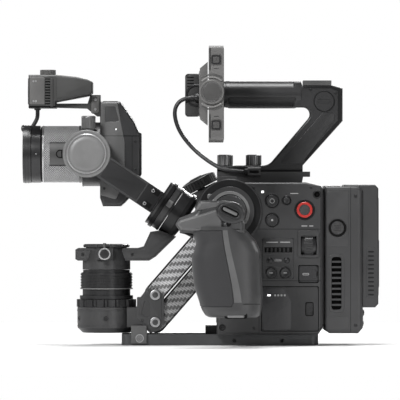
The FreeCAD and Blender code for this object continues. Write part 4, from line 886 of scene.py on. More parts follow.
def link_details():
    """Carbon faces on the links, with the links' black edges left showing."""
    rise, run = 71.9, 62.5  # from a link's front pin to its rear pin
    pin = 4.7  # radius of the pin holes
    length, slope = math.hypot(run, rise), math.atan2(rise, run)
    links = (("upper", 118.6, (-7.9, 10.5), "carbon_upper"), ("lower", 93, (-10.5, 7.9), "carbon_lower"))
    for name, rear_z, (low, high), key in links:
        def spot(along, across):
            return (-17 + along * math.cos(slope) - across * math.sin(slope),
                rear_z + along * math.sin(slope) + across * math.cos(slope))
        middle, radius = (low + high) / 2, (high - low) / 2 - 1.5
        outline = [spot(radius * math.cos(a), middle + radius * math.sin(a))
            for a in (math.radians(-90 + 12 * i) for i in range(16))]
        outline += [spot(-length + radius * math.cos(a), middle + radius * math.sin(a))
            for a in (math.radians(90 + 12 * i) for i in range(16))]
        turns = [2 * math.pi * i / 36 for i in range(36)]
        holes = [[spot(a + pin * math.cos(t), pin * math.sin(t)) for t in turns] for a in (0, -length)]
        for side, sign in BOTH:
            Group(name + "_link", "carbon").plaque("%s_link_face_%s" % (name, side), [outline] + holes,
                side, sign * 17.85, 0.6, key, 0.25)
        inset = [spot(a, w) for a, w in ((-22, low + 4.2), (-length + 22, low + 4.2),
            (-length + 22, high - 4.2), (-22, high - 4.2))]
        for side, sign in BOTH:
            Group(name + "_link", "carbon").plaque("%s_link_inset_%s" % (name, side),
                [round_poly(inset, 2.6)], side, sign * 18.05, 0.5, key, 0.2)


def base_details():
    """Rings, pins, screws and faces on the cup, pan motor, its flange, bracket and pan knob."""
    base.hoop("cup_line", 27.6, 26.6, (PAN_X, 0, 31.8), UP, 0.9, "gimbal_grey", 0.25, 96)
    base.hoop("cup_line_low", 27.55, 26.6, (PAN_X, 0, 17.4), UP, 0.6, "gimbal_grey", 0.2, 96)

    def crown(radius, height, angle):
        """Segments round the top flange."""
        return radius - (1.1 if (angle * 12 / math.pi) % 2 > 1.55 else 0)
    Group("pan_arm", "gimbal_metal").lathe("flange_crown", [(15, 0), (15.4, 0.9), (20.4, 0.9), (21.7, 0.2),
        (21.7, -1.6), (21, -2)], (PAN_X, 0, 93.2), UP, "gimbal_grey", 240, crown)
    Group("pan_arm", "motor_metal").lathe("flange_cap", [(0, 1), (9, 0.9), (13.4, 0.4), (14.4, -0.2)],
        (PAN_X, 0, 93.2), UP, "motor", 72)
    for side, sign in BOTH:
        for i, (x, z) in enumerate(((-79.5, 46.7), (-79.5, 21.1))):
            base_pin.lathe("pin_face_%s_%d" % (side, i), [(0, 0.4), (1.7, 0.45), (2, 0.9), (3.9, 1.2),
                (4.7, 0.9), (4.9, -0.2)], (x, sign * 24.9, z), (0, sign, 0), "steel", 48)
            base_pin.lathe("pin_end_%s_%d" % (side, i), [(0, 0.9), (2.1, 0.85), (2.8, 0.6), (3, -0.2)],
                (x, sign * 25.3, z), (0, sign, 0), "gimbal_grey", 40)
        base.plaque("bracket_face_" + side, [round_poly([(-98, 27), (-95.4, 33), (-94.4, 40), (-89.2, 47.2),
            (-86.6, 51.2), (-76, 48), (-73.4, 44.6), (-73.4, 21.6), (-77.4, 15.4), (-83.6, 13.2)], 3),
            circle(-79.5, 46.7, 5.2, 36), circle(-79.5, 21.1, 5.2, 36),
            round_poly([(-92.6, 28.6), (-84.6, 24.6), (-84.6, 41.4), (-89.4, 41.4)], 2.4)], side,
            sign * 24.5, 0.7, "gimbal_grey", 0.3, 3)
        screw("bracket_screw_" + side, -91.4, 22.9, sign * 24, 1.6, side, "pan_base")
    Group("pan_base", "motor_metal").hoop("motor_line", 24.75, 23, (PAN_X, 0, 52.3), UP, 0.5,
        "motor", 0.15, 96)
    for i in range(3):
        angle = math.radians(200 + i * 70)
        base_pin.lathe("cup_screw_%d" % i, [(0, 0.1), (1, 0.12), (1.1, 0.5), (2, 0.5), (2.3, 0.1),
            (2.3, -0.4)], (PAN_X + 27.2 * math.cos(angle), 27.2 * math.sin(angle), 24.5), (math.cos(angle),
            math.sin(angle), 0), "gimbal", 28)
    Group("pan_lock_knob", "knob_metal").hoop("pan_knob_ring", 5.7, 4.3, (-126.8, -30.5, 85.1), OPERATOR,
        0.35, "bright", 0.25, 56)
    Group("pan_lock_knob", "knob_metal").lathe("pan_knob_core", [(0, 0.3), (3, 0.25), (4.2, 0.05),
        (4.4, -0.2)], (-126.8, -30.5, 85.1), OPERATOR, "gimbal", 40)


def arm_details():
    """Faces, rings, windows, collars, caps and screws on the pan arm, roll arm and tilt motor."""
    face = [(-152.8, 80.6), (-86, 80.6), (-80.4, 84), (-62.6, 101.2), (-75, 105), (-82.8, 103.8),
        (-88.8, 89.6), (-95.4, 88), (-117.6, 88), (-152.8, 88)]
    for side, sign in BOTH:
        Group("pan_arm", "gimbal_metal").plaque("pan_arm_face_" + side, [round_poly(face, 1.6)], side,
            sign * 13.45, 0.7, "gimbal_grey", 0.3, 3)
        for i, (x, z) in enumerate(((-147.6, 84.4), (-101, 84.4))):
            screw("pan_arm_screw_%s_%d" % (side, i), x, z, sign * 13.4, 1.5, side, "pan_arm")
    side_face = [on_roll(s, w) for s, w in ((21.5, -10.6), (62, -10.6), (62, 7.8), (21.5, 7.8))]
    # painted shade: the roll arm's side face is drawn in the darker gimbal finish where the arm curves away
    # from the light
    roll.plaque("roll_arm_face", [round_poly(side_face, 1.2)], "left", -60.4, 0.7, "gimbal", 0.3, 3)
    block = [on_roll(s, w) for s, w in ((63.4, -12.2), (79.4, -12.2), (79.4, 9.3), (63.4, 9.3))]
    roll.plaque("roll_arm_block", [round_poly(block, 1)], "left", -60.6, 0.9, "shell_dark", 0.3, 3)
    for i, (x, z) in enumerate(((-81, 144), (-89.1, 132.3))):
        screw("roll_arm_screw_%d" % i, x, z, -60.5, 1.7, "left", "roll_arm", "bright")
    for i, (s, w) in enumerate(((70.6, 3.4), (70, -10.4))):
        window = [on_roll(s + ds, w + dw) for ds, dw in ((0, 0), (6.8, 0), (6.8, 4.8), (0, 4.8))]
        roll.plaque("roll_arm_window_%d" % i, [round_poly(window, 0.9)], "left", -60.9, 0.5, "black", 0.15)
    tilt_motor.hoop("tilt_ring", 18.5, 17.2, (TILT[0], -60.8, TILT[1]), OPERATOR, 0.35, "bright", 0.3, 96)
    tilt_motor.lathe("tilt_face", [(0, 0.25), (12, 0.25), (15.4, 0.15), (16.2, -0.4)], (TILT[0], -61.6,
        TILT[1]), OPERATOR, "motor", 96)
    tilt_motor.hoop("tilt_shoulder", 22.1, 19.4, (TILT[0], -59.9, TILT[1]), OPERATOR, 0.5,
        "motor", 0.45, 96)
    along = Vector((math.cos(ROLL_PITCH), 0, -math.sin(ROLL_PITCH)))
    for i, s in enumerate((80.4, 92.6)):
        x, z = on_roll(s, 0)
        roll.hoop("roll_line_%d" % i, 23.35, 22, (x, 0, z), along, 0.8, "gimbal", 0.25, 96)
    for i, (s, r) in enumerate(((83.6, 24.3), (104.4, 24.1))):
        x, z = on_roll(s, 0)
        Group("roll_arm" if i == 0 else "pan_arm", "gimbal_metal").hoop("roll_collar_%d" % i, r, 22,
            (x, 0, z), along, 3.4, "shell_dark", 0.5, 96)
    lug = [on_roll(s, w) for s, w in ((87.4, 0.6), (92.6, 0.6), (92.6, 7.4), (87.4, 7.4))]
    roll.plaque("roll_lug", [round_poly(lug, 1)], "left", -24.4, 3, "motor", 0.6, 3)
    x, z = on_roll(110, 0)
    Group("pan_arm", "motor_metal").lathe("roll_cap", [(0, 1.2), (13, 1.1), (17.6, 0.5), (19.4, -0.6),
        (20.2, -1.6)], (x, 0, z), along, "gimbal", 96)
    Group("tilt_lock_knob", "knob_metal").lathe("tilt_knob_cap", [(0, 0.5), (5.4, 0.45), (6.3, 0.1),
        (6.65, -0.5), (6.65, -1.4)], (-141.4, -49.5, 213.4), UP, "knob", 48)
    Group("roll_arm", "knob_metal").lathe("tilt_knob_foot", [(4, 0.6), (7.6, 0.5), (8.2, 0), (8.4, -1.6)],
        (-141.4, -49.5, 201), UP, "gimbal", 48)


# ---- lens head
def knurled_barrel():
    """The lens barrel: a diamond-knurled sleeve with plain lands at its ends."""
    around, along = 76, 17
    columns, rows = around * 2, along * 2
    x0, x1 = -184, -148.2
    bm = bmesh.new()

    def ring(x, radius_of):
        made = []
        for i in range(columns):
            angle = 2 * math.pi * i / columns
            r = radius_of(i)
            made.append(bm.verts.new((x * MM, r * math.cos(angle) * MM,
                (TILT[1] + r * math.sin(angle)) * MM)))
        return made

    def strip(low, high):
        for i in range(columns):
            j = (i + 1) % columns
            bm.faces.new((low[i], low[j], high[j], high[i]))
    rings = [ring(x, lambda i, r=r: r) for x, r in ((-196, 21.6), (-196, 23.9), (-184.6, 23.9),
        (-184.6, 26.2), (-184.3, 26.5))]
    for low, high in zip(rings, rings[1:]):
        strip(low, high)
    last = rings[-1]
    for j in range(rows + 1):
        x = x0 + (x1 - x0) * j / rows
        now = ring(x, lambda i: KNURL_LOW + KNURL_DEPTH * ((i + j) % 2))
        if j == 0:
            strip(last, now)
        else:
            for i in range(columns):
                k = (i + 1) % columns
                if (i + j) % 2:
                    bm.faces.new((last[i], last[k], now[i]))
                    bm.faces.new((last[k], now[k], now[i]))
                else:
                    bm.faces.new((last[i], now[k], now[i]))
                    bm.faces.new((last[i], last[k], now[k]))
        last = now
    for x, r in ((-147.9, 26.4), (-147.6, 26.2), (-147.6, 21.6), (-196, 21.6)):
        now = ring(x, lambda i, r=r: r)
        strip(last, now)
        last = now
    barrel = from_bmesh("knurled_barrel", bm)
    settle(barrel, "camera_head", "lens_knurl", 4)
    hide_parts("lens_barrel")


def curved_plate(name, x_range, angles, radius, lift, key):
    """A plate wrapped on the lens's left side, with a rounded edge. Angles are degrees up from the left."""
    bm = bmesh.new()
    steps = 14
    grid = []
    levels = ((0, -0.6), (0, lift - 0.15), (0.15, lift))
    for inset, height in levels:
        ring = []
        a0, a1 = math.radians(angles[0]), math.radians(angles[1])
        pad = inset / radius
        xs = (x_range[0] + inset, x_range[1] - inset)
        track = [(xs[0], a0 + pad + (a1 - a0 - 2 * pad) * i / steps) for i in range(steps + 1)]
        track += [(xs[1], a) for _, a in reversed(track)]
        for x, angle in track:
            r = radius + height
            ring.append(bm.verts.new((x * MM, -r * math.cos(angle) * MM,
                (TILT[1] + r * math.sin(angle)) * MM)))
        grid.append(ring)
    count = len(grid[0])
    for low, high in zip(grid, grid[1:]):
        for i in range(count):
            bm.faces.new((low[i], low[(i + 1) % count], high[(i + 1) % count], high[i]))
    top = grid[-1]
    for i in range(steps):
        bm.faces.new((top[i], top[i + 1], top[count - 2 - i], top[count - 1 - i]))
    settle(from_bmesh(name, bm), "camera_head", key, 30)


def lens_details():
    """The lens's rings, slot plate, hood and front, and the plates, seams and ribs of its head."""
    knurled_barrel()
    Group("camera_head", "lens_metal").hoop("bright_line", 26.75, 24, (-184.4, 0, TILT[1]), FORWARD, 1,
        "bright", 0.3, 120)
    lens_dark.hoop("black_line", 26.2, 23.9, (-185.6, 0, TILT[1]), FORWARD, 0.7, "black", 0.1, 120)
    Group("camera_head", "lens_metal").hoop("rear_line", 26.9, 26, (-150, 0, TILT[1]), FORWARD, 0.9,
        "lens_grey", 0.2, 120)
    curved_plate("slot_plate", (-178.2, -160), (-22.5, 22.5), 26.3, 0.55, "lens_grey")
    curved_plate("slot_line_top", (-178.6, -160), (22.6, 24), 26.3, 0.75, "black")
    curved_plate("slot_line_low", (-178.6, -160), (-24, -22.6), 26.3, 0.75, "black")
    d_shape = [(-166.4, 174.6), (-166.4, 182.6)] + circle(-168.4, 178.6, 4, 12, math.pi / 2, math.pi)
    d_hole = [(-167.4, 175.6), (-167.4, 181.6)] + circle(-168.5, 178.6, 3, 12, math.pi / 2, math.pi)
    lens_dark.plaque("slot_rim", [d_shape, d_hole], "left", -27.2, 0.5, "black", 0.12)
    for i, x in enumerate((-201.4, -198.6)):
        lens_dark.hoop("hood_line_%d" % i, 27.25, 26.4, (x, 0, TILT[1]), FORWARD, 0.45, "gimbal", 0.12, 120)
    lens_dark.hoop("hood_front", 26.9, 22.9, (-203, 0, TILT[1]), FORWARD, 0.7, "lens_black", 0.35, 120)
    for i in range(3):
        lens_dark.hoop("thread_line_%d" % i, 22.55, 21.9, (-198.6 - i * 1.2, 0, TILT[1]), FORWARD, 0.35,
            "black", 0.1, 96)
    lens_dark.lathe("hood_bump", [(0, 2.3), (1.6, 2.1), (3, 1.2), (3.4, -0.4)], (-203.2, -8, 202.6),
        FORWARD, "lens_black", 32)
    Group("focus_ring", "lens_metal").lathe("focus_dot", [(0, 0.2), (0.5, 0.15), (0.6, -0.2)], (-191, -26.8,
        178.6), OPERATOR, "mark", 16)
    lens_dark.lathe("front_cone", [(21.4, 4.6), (20.6, 4.2), (18.6, 1.4), (18.4, 0.6)],
        (-197.6, 0, TILT[1]), FORWARD, "black", 96)

    # the head's case
    grey = [(-130.4, 140), (-130.4, 226.2), (-114.6, 226.2), (-107.8, 189.1), (-107.8, 154), (-116, 136)]
    recess = [(-126.5, 208.7), (-126, 222.6), (-116.8, 222.6), (-113.3, 208.7)]
    for side, sign in BOTH:
        head.plaque("head_face_" + side, [round_poly(grey, 2), round_poly(recess, 1.6)], side, sign * 34.7,
            1.2, "head_grey", 0.5, 3)
        head.plaque("head_recess_" + side, [round_poly(recess, 1)], side, sign * 34.2, 0.6, "head_mid", 0.1)
        seam("head_line_" + side, [(-131, 195.4), (-94.6, 195.4)], sign * 34.78, side,
            "camera_head", "head_metal")
        seam("head_upright_" + side, [(-101, 150), (-101, 195.4)], sign * 34.1, side,
            "camera_head", "head_metal")
        for i, (x, z) in enumerate(((-127, 146), (-98.2, 164), (-98.2, 190))):
            screw("head_screw_%s_%d" % (side, i), x, z, sign * (34.7 if i == 0 else 34), 1.1, side,
                "camera_head")
    head.plaque("head_lamp", [[(-116.6, 201.6), (-116, 202.5), (-115.4, 201.6), (-116, 200.7)]], "left",
        -34.85, 0.4, "lamp", 0.1)
    slope_start, slope_end = Vector((-112, 227.4)), Vector((-98.3, 207))
    for i in range(7):
        at = slope_start.lerp(slope_end, 0.12 + i * 0.13)
        out = Vector((20.4, 13.7)).normalized()
        run = (slope_end - slope_start).normalized()
        rib = [at + out * 0.5 - run * 0.6, at + out * 0.5 + run * 0.6, at - out * 0.8 + run * 0.9,
            at - out * 0.8 - run * 0.9]
        head.plaque("slope_rib_%d" % i, [[tuple(p) for p in rib]], "left", -27, 54, "shell_dark", 0.3)
    for i in range(8):
        z = 164 + i * 4.2
        head.plaque("rear_rib_%d" % i, [[(-93.4, z), (-92.6, z + 0.4), (-92.6, z + 1.8), (-93.4, z + 2.2)]],
            "left", -26, 52, "head", 0.3)
    head.tile("head_top_plate", (-128.5, -24, -114.5, 24, 4), 228.1, 1, "head_grey", 0.4, 3, side="top")
    head.hoop("mount_ring", 30.4, 26.8, (-147.4, 0, TILT[1]), FORWARD, 0.7, "head", 0.5, 120)


def rangefinder_details():
    """Side plates, grilles, windows, the lead and the bracket's tab."""
    for side, sign in BOTH:
        plate = [(-197, 225), (-197, 250.6), (-183, 250.6), (-183, 225)]
        sensor.plaque("range_plate_" + side, [round_poly(plate, 1.4)], side, sign * 24.5, 0.9,
            "sensor_light", 0.3, 3)
        for i, z in enumerate((246.7, 228)):
            for j, x in enumerate((-193.4, -191.2)):
                Group("camera_head", "pin_steel").lathe("range_screw_%s_%d_%d" % (side, i, j),
                    [(0, 0.1), (0.5, 0.1), (0.6, 0.35), (0.9, 0.35), (1, -0.2)], (x, sign * 24.5, z),
                    (0, sign, 0), "bright", 20)
        sensor.tile("grille_bed_" + side, (-182.6, 222.9, -174.8, 249.2, 0.6), sign * 24.15, 0.4, "black",
            0.1, side=side)
        for i in range(10):
            z = 223.6 + i * 2.58
            sensor.tile("grille_fin_%s_%d" % (side, i), (-182.4, z, -177.4, z + 1.2, 0.3), sign * 24.6, 0.8,
                "sensor", 0.2, side=side)
        sensor.tile("grille_post_" + side, (-177.6, 222.9, -175, 249.2, 0.5), sign * 24.7, 0.9, "sensor",
            0.25, side=side)
        sensor.plaque("range_band_" + side, [[(-197.6, 221.9), (-172.8, 221.9), (-172.8, 223.6),
            (-197.6, 223.6)]], side, sign * 24.3, 0.5, "black", 0.1)
        tail = [(-171.6, 230), (-142.2, 235), (-139.4, 237), (-139.4, 245.2), (-143.6, 247.2),
            (-154, 249.6), (-171.6, 251.2)]
        sensor.plaque("range_tail_" + side, [round_poly(tail, 1.6)], side, sign * 24.35, 0.6,
            "sensor", 0.3, 3)
    for i, y in enumerate((-14, 0, 14)):
        sensor.hoop("eye_ring_%d" % i, 6.9, 5.6, (-198.1, y, 237), FORWARD, 0.7, "sensor_light", 0.3, 48)
        Group("camera_head", "glass").lathe("eye_glass_%d" % i, [(0, 1), (2.4, 0.8), (4.4, 0.25),
            (5.8, -0.4)], (-197.6, y, 237), FORWARD, "glass", 48)
    sensor.plaque("range_front", [round_box(-21, 225, 21, 249.4, 2.4)] + [circle(y, 237, 7.2, 40)
        for y in (-14, 0, 14)], "front", -198.7, 0.9, "head", 0.3)
    tube("sensor_lead", [(-190.3, 0, 224), (-190.3, 0, 219), (-190, 0, 214.5), (-191.4, 0, 210),
        (-193.8, 0, 206.5), (-195.2, 0, 203.6)], 1.9, "camera_head", "cable", 6)
    sensor.lathe("lead_collar", [(1.8, 1.6), (2.9, 1.4), (3.1, 0.4), (3.1, -0.6)], (-190.3, 0, 221.4),
        (0, 0, -1), "gimbal", 32)
    for side, sign in BOTH:
        sensor.plaque("bracket_tab_" + side, [round_poly([(-139.8, 216.8), (-132.4, 216.8), (-131.8, 232.8),
            (-139.2, 233.2)], 1.4)], side, sign * 12.8, 1, "sensor_light", 0.35, 3)
        for i, z in enumerate((220.6, 229.6)):
            Group("camera_head", "pin_steel").lathe("tab_screw_%s_%d" % (side, i), [(0, 0.15), (0.6, 0.15),
                (0.7, 0.5), (1.2, 0.5), (1.3, -0.2)], (-135.8, sign * 12.8, z), (0, sign, 0), "bright", 20)
    Group("rangefinder_knob", "knob_metal").lathe("range_knob_cap", [(0, 0.35), (5.6, 0.35), (6.9, 0),
        (7.3, -0.6)], (-180.5, 0, 257.5), UP, "sensor_light", 48)


# ---- monitor
def arc_band(x, z, inner, outer, start, sweep, count=20):
    """An arc-shaped outline."""
    return circle(x, z, outer, count, start, sweep) + circle(x, z, inner, count, start + sweep, -sweep)


def monitor_details():
    """The monitor's hub, key collars, bezel and back cover, its mount and the cable's glands."""
    hub = (-26.8, 234.2)
    monitor.hoop("hub_rim", 11.3, 9.4, (hub[0], -149.8, hub[1]), OPERATOR, 0.9, "monitor", 0.5, 72)
    monitor.lathe("hub_face", [(0, 0.3), (7.4, 0.25), (8.8, 0), (9.6, -0.4)], (hub[0], -150, hub[1]),
        OPERATOR, "monitor_mid", 72)
    monitor.hoop("hub_line", 8.9, 8.3, (hub[0], -150, hub[1]), OPERATOR, 0.5, "knob", 0.2, 72)
    for i, start in enumerate((math.radians(48), math.radians(-132))):
        band = arc_band(hub[0], hub[1], 12.6, 14.4, start, math.radians(84))
        monitor.plaque("hub_ridge_%d" % i, [band], "left", -149.3, 1.6, "monitor_light", 0.6, 3)
        outer = arc_band(hub[0], hub[1], 15.2, 16.6, start + math.radians(6), math.radians(72))
        monitor.plaque("hub_step_%d" % i, [outer], "left", -148.6, 1, "monitor_mid", 0.4, 3)
    for i, z in enumerate((204, 263.6)):
        monitor.plaque("monitor_key_collar_%d" % i, [round_box(-27.7, z - 5, -17.9, z + 5, 2.2),
            round_box(-26.9, z - 4.1, -18.7, z + 4.1, 1.7)], "left", -148.5, 0.9, "monitor_mid", 0.25)
        key_body = ("monitor_key_lower", "monitor_key_upper")[i]
        Group(key_body, "key_plastic").tile("monitor_key_face_%d" % i, (-25.6, z - 2.8, -20, z + 2.8, 1.2),
            -149.2, 0.5, "monitor_mid", 0.2)
        monitor.tile("monitor_mark_%d" % i, (-25, z + (7.4 if i == 0 else -8.4), -20.4,
            z + (8.2 if i == 0 else -7.6), 0.3), -148.12, 0.2, "monitor_dark", 0.04)
    for i, (z0, z1) in enumerate(((191.6, 214), (254, 274.4))):
        monitor.tile("monitor_edge_%d" % i, (-29.2, z0, -27.9, z1, 0.6), -148.4, 0.7, "monitor_dark", 0.2)
    monitor.plaque("monitor_bezel", [round_box(-146.6, 190.8, -17.8, 275, 3.6),
        round_box(-141.6, 200.4, -22.8, 265.4, 1.2)], "back", -15.7, 0.6, "shell_dark", 0.25, 3)
    monitor.tile("monitor_cover", (-134, 213, -30, 254, 5), -38.4, 1.2, "monitor", 0.5, 3, side="front")
    for i in range(8):
        y = -120 + i * 5
        monitor.tile("monitor_vent_%d" % i, (y, 220, y + 2, 247, 1), -38.8, 0.6, "black", 0.2, side="front")
    for i, (y, z) in enumerate(((-130, 217), (-130, 250), (-34, 217), (-34, 250))):
        Group("monitor", "pin_steel").lathe("cover_screw_%d" % i, [(0, 0.1), (0.9, 0.1), (1, 0.5),
            (1.8, 0.5), (2, -0.2)], (-38.4, y, z), FORWARD, "gimbal", 28)
    for side, sign in BOTH:
        mount.plaque("mount_shell_" + side,
            [round_poly([(-51.2, 216.4), (-48, 214.2), (-38.2, 214.2), (-38.2, 253.6), (-47, 253.6),
            (-51.2, 249)], 2.4)], side, sign * 8.5, 0.9, "monitor_dark", 0.4, 3)
        mount.hoop("mount_disc_" + side, 10.6, 8.4, (-41, sign * 8.6, 233.4), (0, sign, 0), 0.8,
            "gimbal", 0.4, 64)
        for i in range(4):
            z = 241.6 + i * 2.8
            mount.tile("mount_groove_%s_%d" % (side, i), (-49.8, z, -43.4, z + 1, 0.4), sign * 8.8, 0.5,
                "black", 0.12, side=side)
    Group("camera_body", "cable_rubber").lathe("gland_nut", [(2, 2.2), (3.6, 2), (4.1, 1.2), (4.1, -1)],
        (-40.6, -11, 231.8), FORWARD, "gimbal", 12)
    Group("camera_body", "cable_rubber").lathe("lower_gland", [(2, 3.2), (2.9, 2.8), (3.4, 1.2),
        (3.6, -0.6)], (6.2, -25.4, 161.9), FORWARD, "gimbal", 36)
    casing.tile("socket_slot", (8.6, 160.6, 17.4, 163.2, 1), -29.9, 0.5, "black", 0.15)


link_details()
base_details()
arm_details()
lens_details()
rangefinder_details()
monitor_details()


# ---- hand grips: edges of the handle in the side view, as (Z, X) points
FRONT_LINE = [(27.9, -31), (29.4, -33.2), (37.4, -36.9), (58.7, -42.9), (74, -44.6), (82.6, -44.6),
    (90, -42.2), (95.1, -40.9), (101, -42.6), (107.8, -46), (111, -46)]
REAR_LINE = [(27.9, 16.8), (29.4, 18.2), (37.4, 19.2), (49.1, 20.1), (63.4, 19.2), (87.4, 18.2), (97, 14.4),
    (104, 8.4), (111, 2)]
SPLIT_LINE = [(27.9, -9), (37.4, -8.6), (42, -6.4), (107.8, -17), (111, -17)]
STRIP_LINE = [(27.9, 1.6), (41, 0.6), (107.8, -12.4), (111, -12.4)]


def along_line(line, z):
    """X at height z on a line, eased a little between its points."""
    for (z0, x0), (z1, x1) in zip(line, line[1:]):
        if z <= z1:
            t = max(0, (z - z0) / (z1 - z0))
            t = t * t * (3 - 2 * t) * 0.5 + t * 0.5
            return x0 + (x1 - x0) * t
    return line[-1][1]


def grip_handle(side, sign):
    """The sculpted handle, one loft: rubber under the fingers, a pale strip, a hard palm side."""
    foot, flare, shoulder, top = 27.9, 37.4, 107.8, 111
    levels = [foot, 28.5, 29.8, 32, 34.6, flare]
    levels += [flare + (shoulder - flare) * i / 34 for i in range(1, 35)] + [top]
    front, strip, rear = 30, 3, 22  # points round the rubber, each strip and the palm side
    power = 3  # how square the section is; 2 would be an ellipse
    bm = bmesh.new()
    rings = []
    for z in levels:
        x0, x1 = along_line(FRONT_LINE, z), along_line(REAR_LINE, z)
        ease = min(1, (z - foot) / 5)
        shrink = 2.6 * (1 - math.sqrt(1 - (1 - ease) ** 2)) if ease < 1 else 0
        middle, half = (x0 + x1) / 2, (x1 - x0) / 2 - shrink
        depth = 23 - shrink - 1.6 * max(0, (z - 92) / 16)

        def turn(x):
            u = max(-1, min(1, (x - middle) / half))
            return math.acos(math.copysign(abs(u) ** (power / 2), u))
        split, edge = turn(along_line(SPLIT_LINE, z)), turn(along_line(STRIP_LINE, z))
        stops = [(split, 2 * math.pi - split, front), (2 * math.pi - split, 2 * math.pi - edge,
            strip), (2 * math.pi - edge, 2 * math.pi + edge, rear), (2 * math.pi + edge,
            2 * math.pi + split, strip)]
        ring = []
        for start, end, count in stops:
            for i in range(count):
                a = start + (end - start) * i / count
                x = middle + half * math.copysign(abs(math.cos(a)) ** (2 / power), math.cos(a))
                y = depth * math.copysign(abs(math.sin(a)) ** (2 / power), math.sin(a))
                ring.append(bm.verts.new((x * MM, (sign * GRIP_Y + y) * MM, z * MM)))
        rings.append(ring)
    count = len(rings[0])
    parts = {"rubber": [], "strip": []}
    for row, (low, high) in enumerate(zip(rings, rings[1:])):
        for i in range(count):
            face = bm.faces.new((low[i], low[(i + 1) % count], high[(i + 1) % count], high[i]))
            if 5 <= row < len(levels) - 2:
                if i < front:
                    parts["rubber"].append(face)
                elif row > 6 and (i < front + strip or i >= front + strip + rear):
                    parts["strip"].append(face)
    bm.faces.new(rings[0])
    bm.faces.new(rings[-1])
    bmesh.ops.recalc_face_normals(bm, faces=bm.faces)
    for face in parts["rubber"]:
        face.material_index = 1
    for face in parts["strip"]:
        face.material_index = 2
    bmesh.ops.inset_region(bm, faces=parts["rubber"], thickness=0.0004, depth=-0.0004)
    bmesh.ops.inset_region(bm, faces=parts["rubber"], thickness=0.0005, depth=0.0008)
    loft = from_bmesh("grip_handle_" + side, bm)
    settle(loft, side + "_grip", "grip", 42)
    loft.data.materials.append(MATERIALS["rubber"].material)
    loft.data.materials.append(MATERIALS["grip_strip"].material)
    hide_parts(side + "_grip", side + "_grip_rubber")


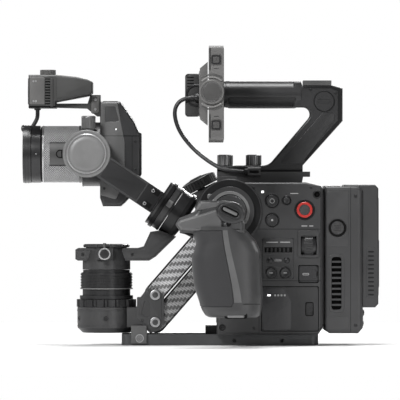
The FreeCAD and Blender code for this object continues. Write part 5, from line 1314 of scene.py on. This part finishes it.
def grip_details(side, sign):
    """The nose, the head, the arm to the rosette, the foot's port and the folding key of one grip."""
    body = side + "_grip"
    grip, grip_steel = Group(body, "grip_plastic"), Group(body, "pin_steel")
    grip_handle(side, sign)
    nose = [(-60.4, 112.8), (-57.2, 118.6), (-43, 124.4), (-38.6, 135), (-14, 134.8), (-2, 131), (3.4, 121),
        (2.4, 110), (-4, 104.8), (-15.3, 104.6), (-44, 104.8), (-55.2, 105.5)]
    grip.plaque("grip_nose_" + side, [round_poly(nose, 3)], side, sign * 137, 34, "grip", 6, 6)
    # the cheek and brow take the lighter grey: partly the panel's own tone, partly painted highlight on the
    # grip's head
    cheek = [(-58.4, 113.4), (-56.4, 116.6), (-40, 121.6), (-22.1, 127.2), (-17.6, 117), (-17, 107.6),
        (-44, 107), (-54.8, 108.2)]
    grip.plaque("grip_cheek_" + side, [round_poly(cheek, 2)], side, sign * 139.4, 8, "grip_mid", 2.4, 5)
    brow = [(-41.6, 125.2), (-37.6, 133.6), (-20.4, 133.6), (-17.6, 129.4), (-23, 128.6)]
    grip.plaque("grip_brow_" + side, [round_poly(brow, 1.8)], side, sign * 138.2, 6, "grip_mid", 2, 5)
    tilt = math.radians(-14)
    cap = []
    for i in range(56):
        a = 2 * math.pi * i / 56
        u, v = 13.4 * math.cos(a), 10.6 * math.sin(a)
        cap.append((-9.6 + u * math.cos(tilt) - v * math.sin(tilt),
            123.6 + u * math.sin(tilt) + v * math.cos(tilt)))
    grip.plaque("grip_head_" + side, [cap], side, sign * 141, 36, "grip_cap", 3.2, 6)
    neck = [(-19, 116), (-14.6, 104), (3.6, 104), (3.8, 114), (1, 121)]
    grip.plaque("grip_neck_" + side, [round_poly(neck, 4)], side, sign * 139.8, 34, "grip", 5, 6)
    grip_steel.lathe("grip_pin_" + side, [(0, 0.1), (1.1, 0.1), (1.3, 0.4), (2.1, 0.4), (2.3, -0.4)],
        (-11.3, sign * 140, 113.6), (0, sign, 0), "black", 28)
    grip.lathe("grip_arm_" + side, [(0, 45.8), (14.4, 45.6), (15, 44.6), (15, 41), (14, 39.6), (12.6, 38),
        (12, 30), (12.4, 20), (13.8, 10), (15, 3.4), (15, 1.4), (14.4, 0.5), (0, 0.4)], (ROSETTE[0],
        sign * 52.9, ROSETTE[1]), (0, sign, 0), "grip", 72)
    for i, h in enumerate((24, 27, 30)):
        grip.hoop("grip_arm_line_%s_%d" % (side, i), 12.5, 11, (ROSETTE[0], sign * (52.9 + h), ROSETTE[1]),
            (0, sign, 0), 0.7, "gimbal", 0.2, 72)
    turn = math.radians(-25)

    def oval(half_length, half_height):
        flat = half_length - half_height
        shape = circle(flat, 0, half_height, 14, -math.pi / 2, math.pi) + circle(-flat, 0, half_height, 14,
            math.pi / 2, math.pi)
        return [(-10 + u * math.cos(turn) - v * math.sin(turn),
            125 + u * math.sin(turn) + v * math.cos(turn)) for u, v in shape]
    key = grip_key.plaque("lock_key_" + side, [oval(10.4, 4.9), oval(8.4, 2.9)], side, sign * 142.6, 2.6,
        "gimbal", 0.8, 4)
    if side == "left":
        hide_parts("grip_lock_screws")
    grip_key.plaque("lock_key_bed_" + side, [oval(8.6, 3.1)], side, sign * 141.4, 0.8, "black", 0.1)
    grip_key.plaque("lock_key_bar_" + side, [oval(7.2, 1.5)], side, sign * 142.3, 1.6, "knob", 0.6, 4)
    grip.tile("grip_port_" + side, (-15.4, 26.9, 5.6, 33, 2.2), sign * 141.9, 4, "black", 0.6, 3, side=side)
    grip_steel.tile("grip_port_bar_" + side, (-12.6, 27.7, 3, 30.2, 1.1), sign * 142.5, 2.4, "knob",
        0.7, 4, side=side)
    seam("grip_foot_line_" + side, [(1.6, 40.2), (17.2, 40.2)], sign * 142.75, side, body,
        "grip_plastic", 0.4)
    grip.plaque("grip_trigger_" + side, [round_poly([(-57.6, 106.6), (-53.2, 104.9), (-46.6, 101.8),
        (-44.2, 99.2), (-43, 104.4)], 1.4)], side, sign * 128, 16, "gimbal", 1.2, 4)
    for i, y in enumerate((112, 120, 128) if side == "left" else ()):
        Group(body, "key_plastic").lathe("grip_top_key_%s_%d" % (side, i), [(0, 0.9), (1.8, 0.8),
            (2.5, 0.3), (2.7, -0.6)], (-27, sign * y, 134.8), UP, "key", 32)


def focus_wheel_details():
    """The seat of the focus wheel and the rim and dome on top of it."""
    lean = math.radians(27.3)
    axis = Vector((-math.sin(lean), 0, math.cos(lean)))
    origin = Vector((-27, GRIP_Y, 128))
    Group("right_grip", "grip_plastic").lathe("wheel_seat", [(0, 20.4), (14.6, 20.4), (15.2, 19.8),
        (15.2, 12), (14, 9), (14, -5)], origin, axis, "grip", 72)
    Group("right_focus_wheel", "knob_metal").hoop("wheel_rim", 17.6, 15.6, origin + axis * 29.6, axis, 0.7,
        "motor", 0.3, 96)
    Group("right_focus_wheel", "knob_metal").lathe("wheel_top", [(0, 0.35), (5.2, 0.3), (6.4, 0),
        (6.6, -0.4)], origin + axis * 32.3, axis, "gimbal", 48)


for side, sign in BOTH:
    grip_details(side, sign)
focus_wheel_details()
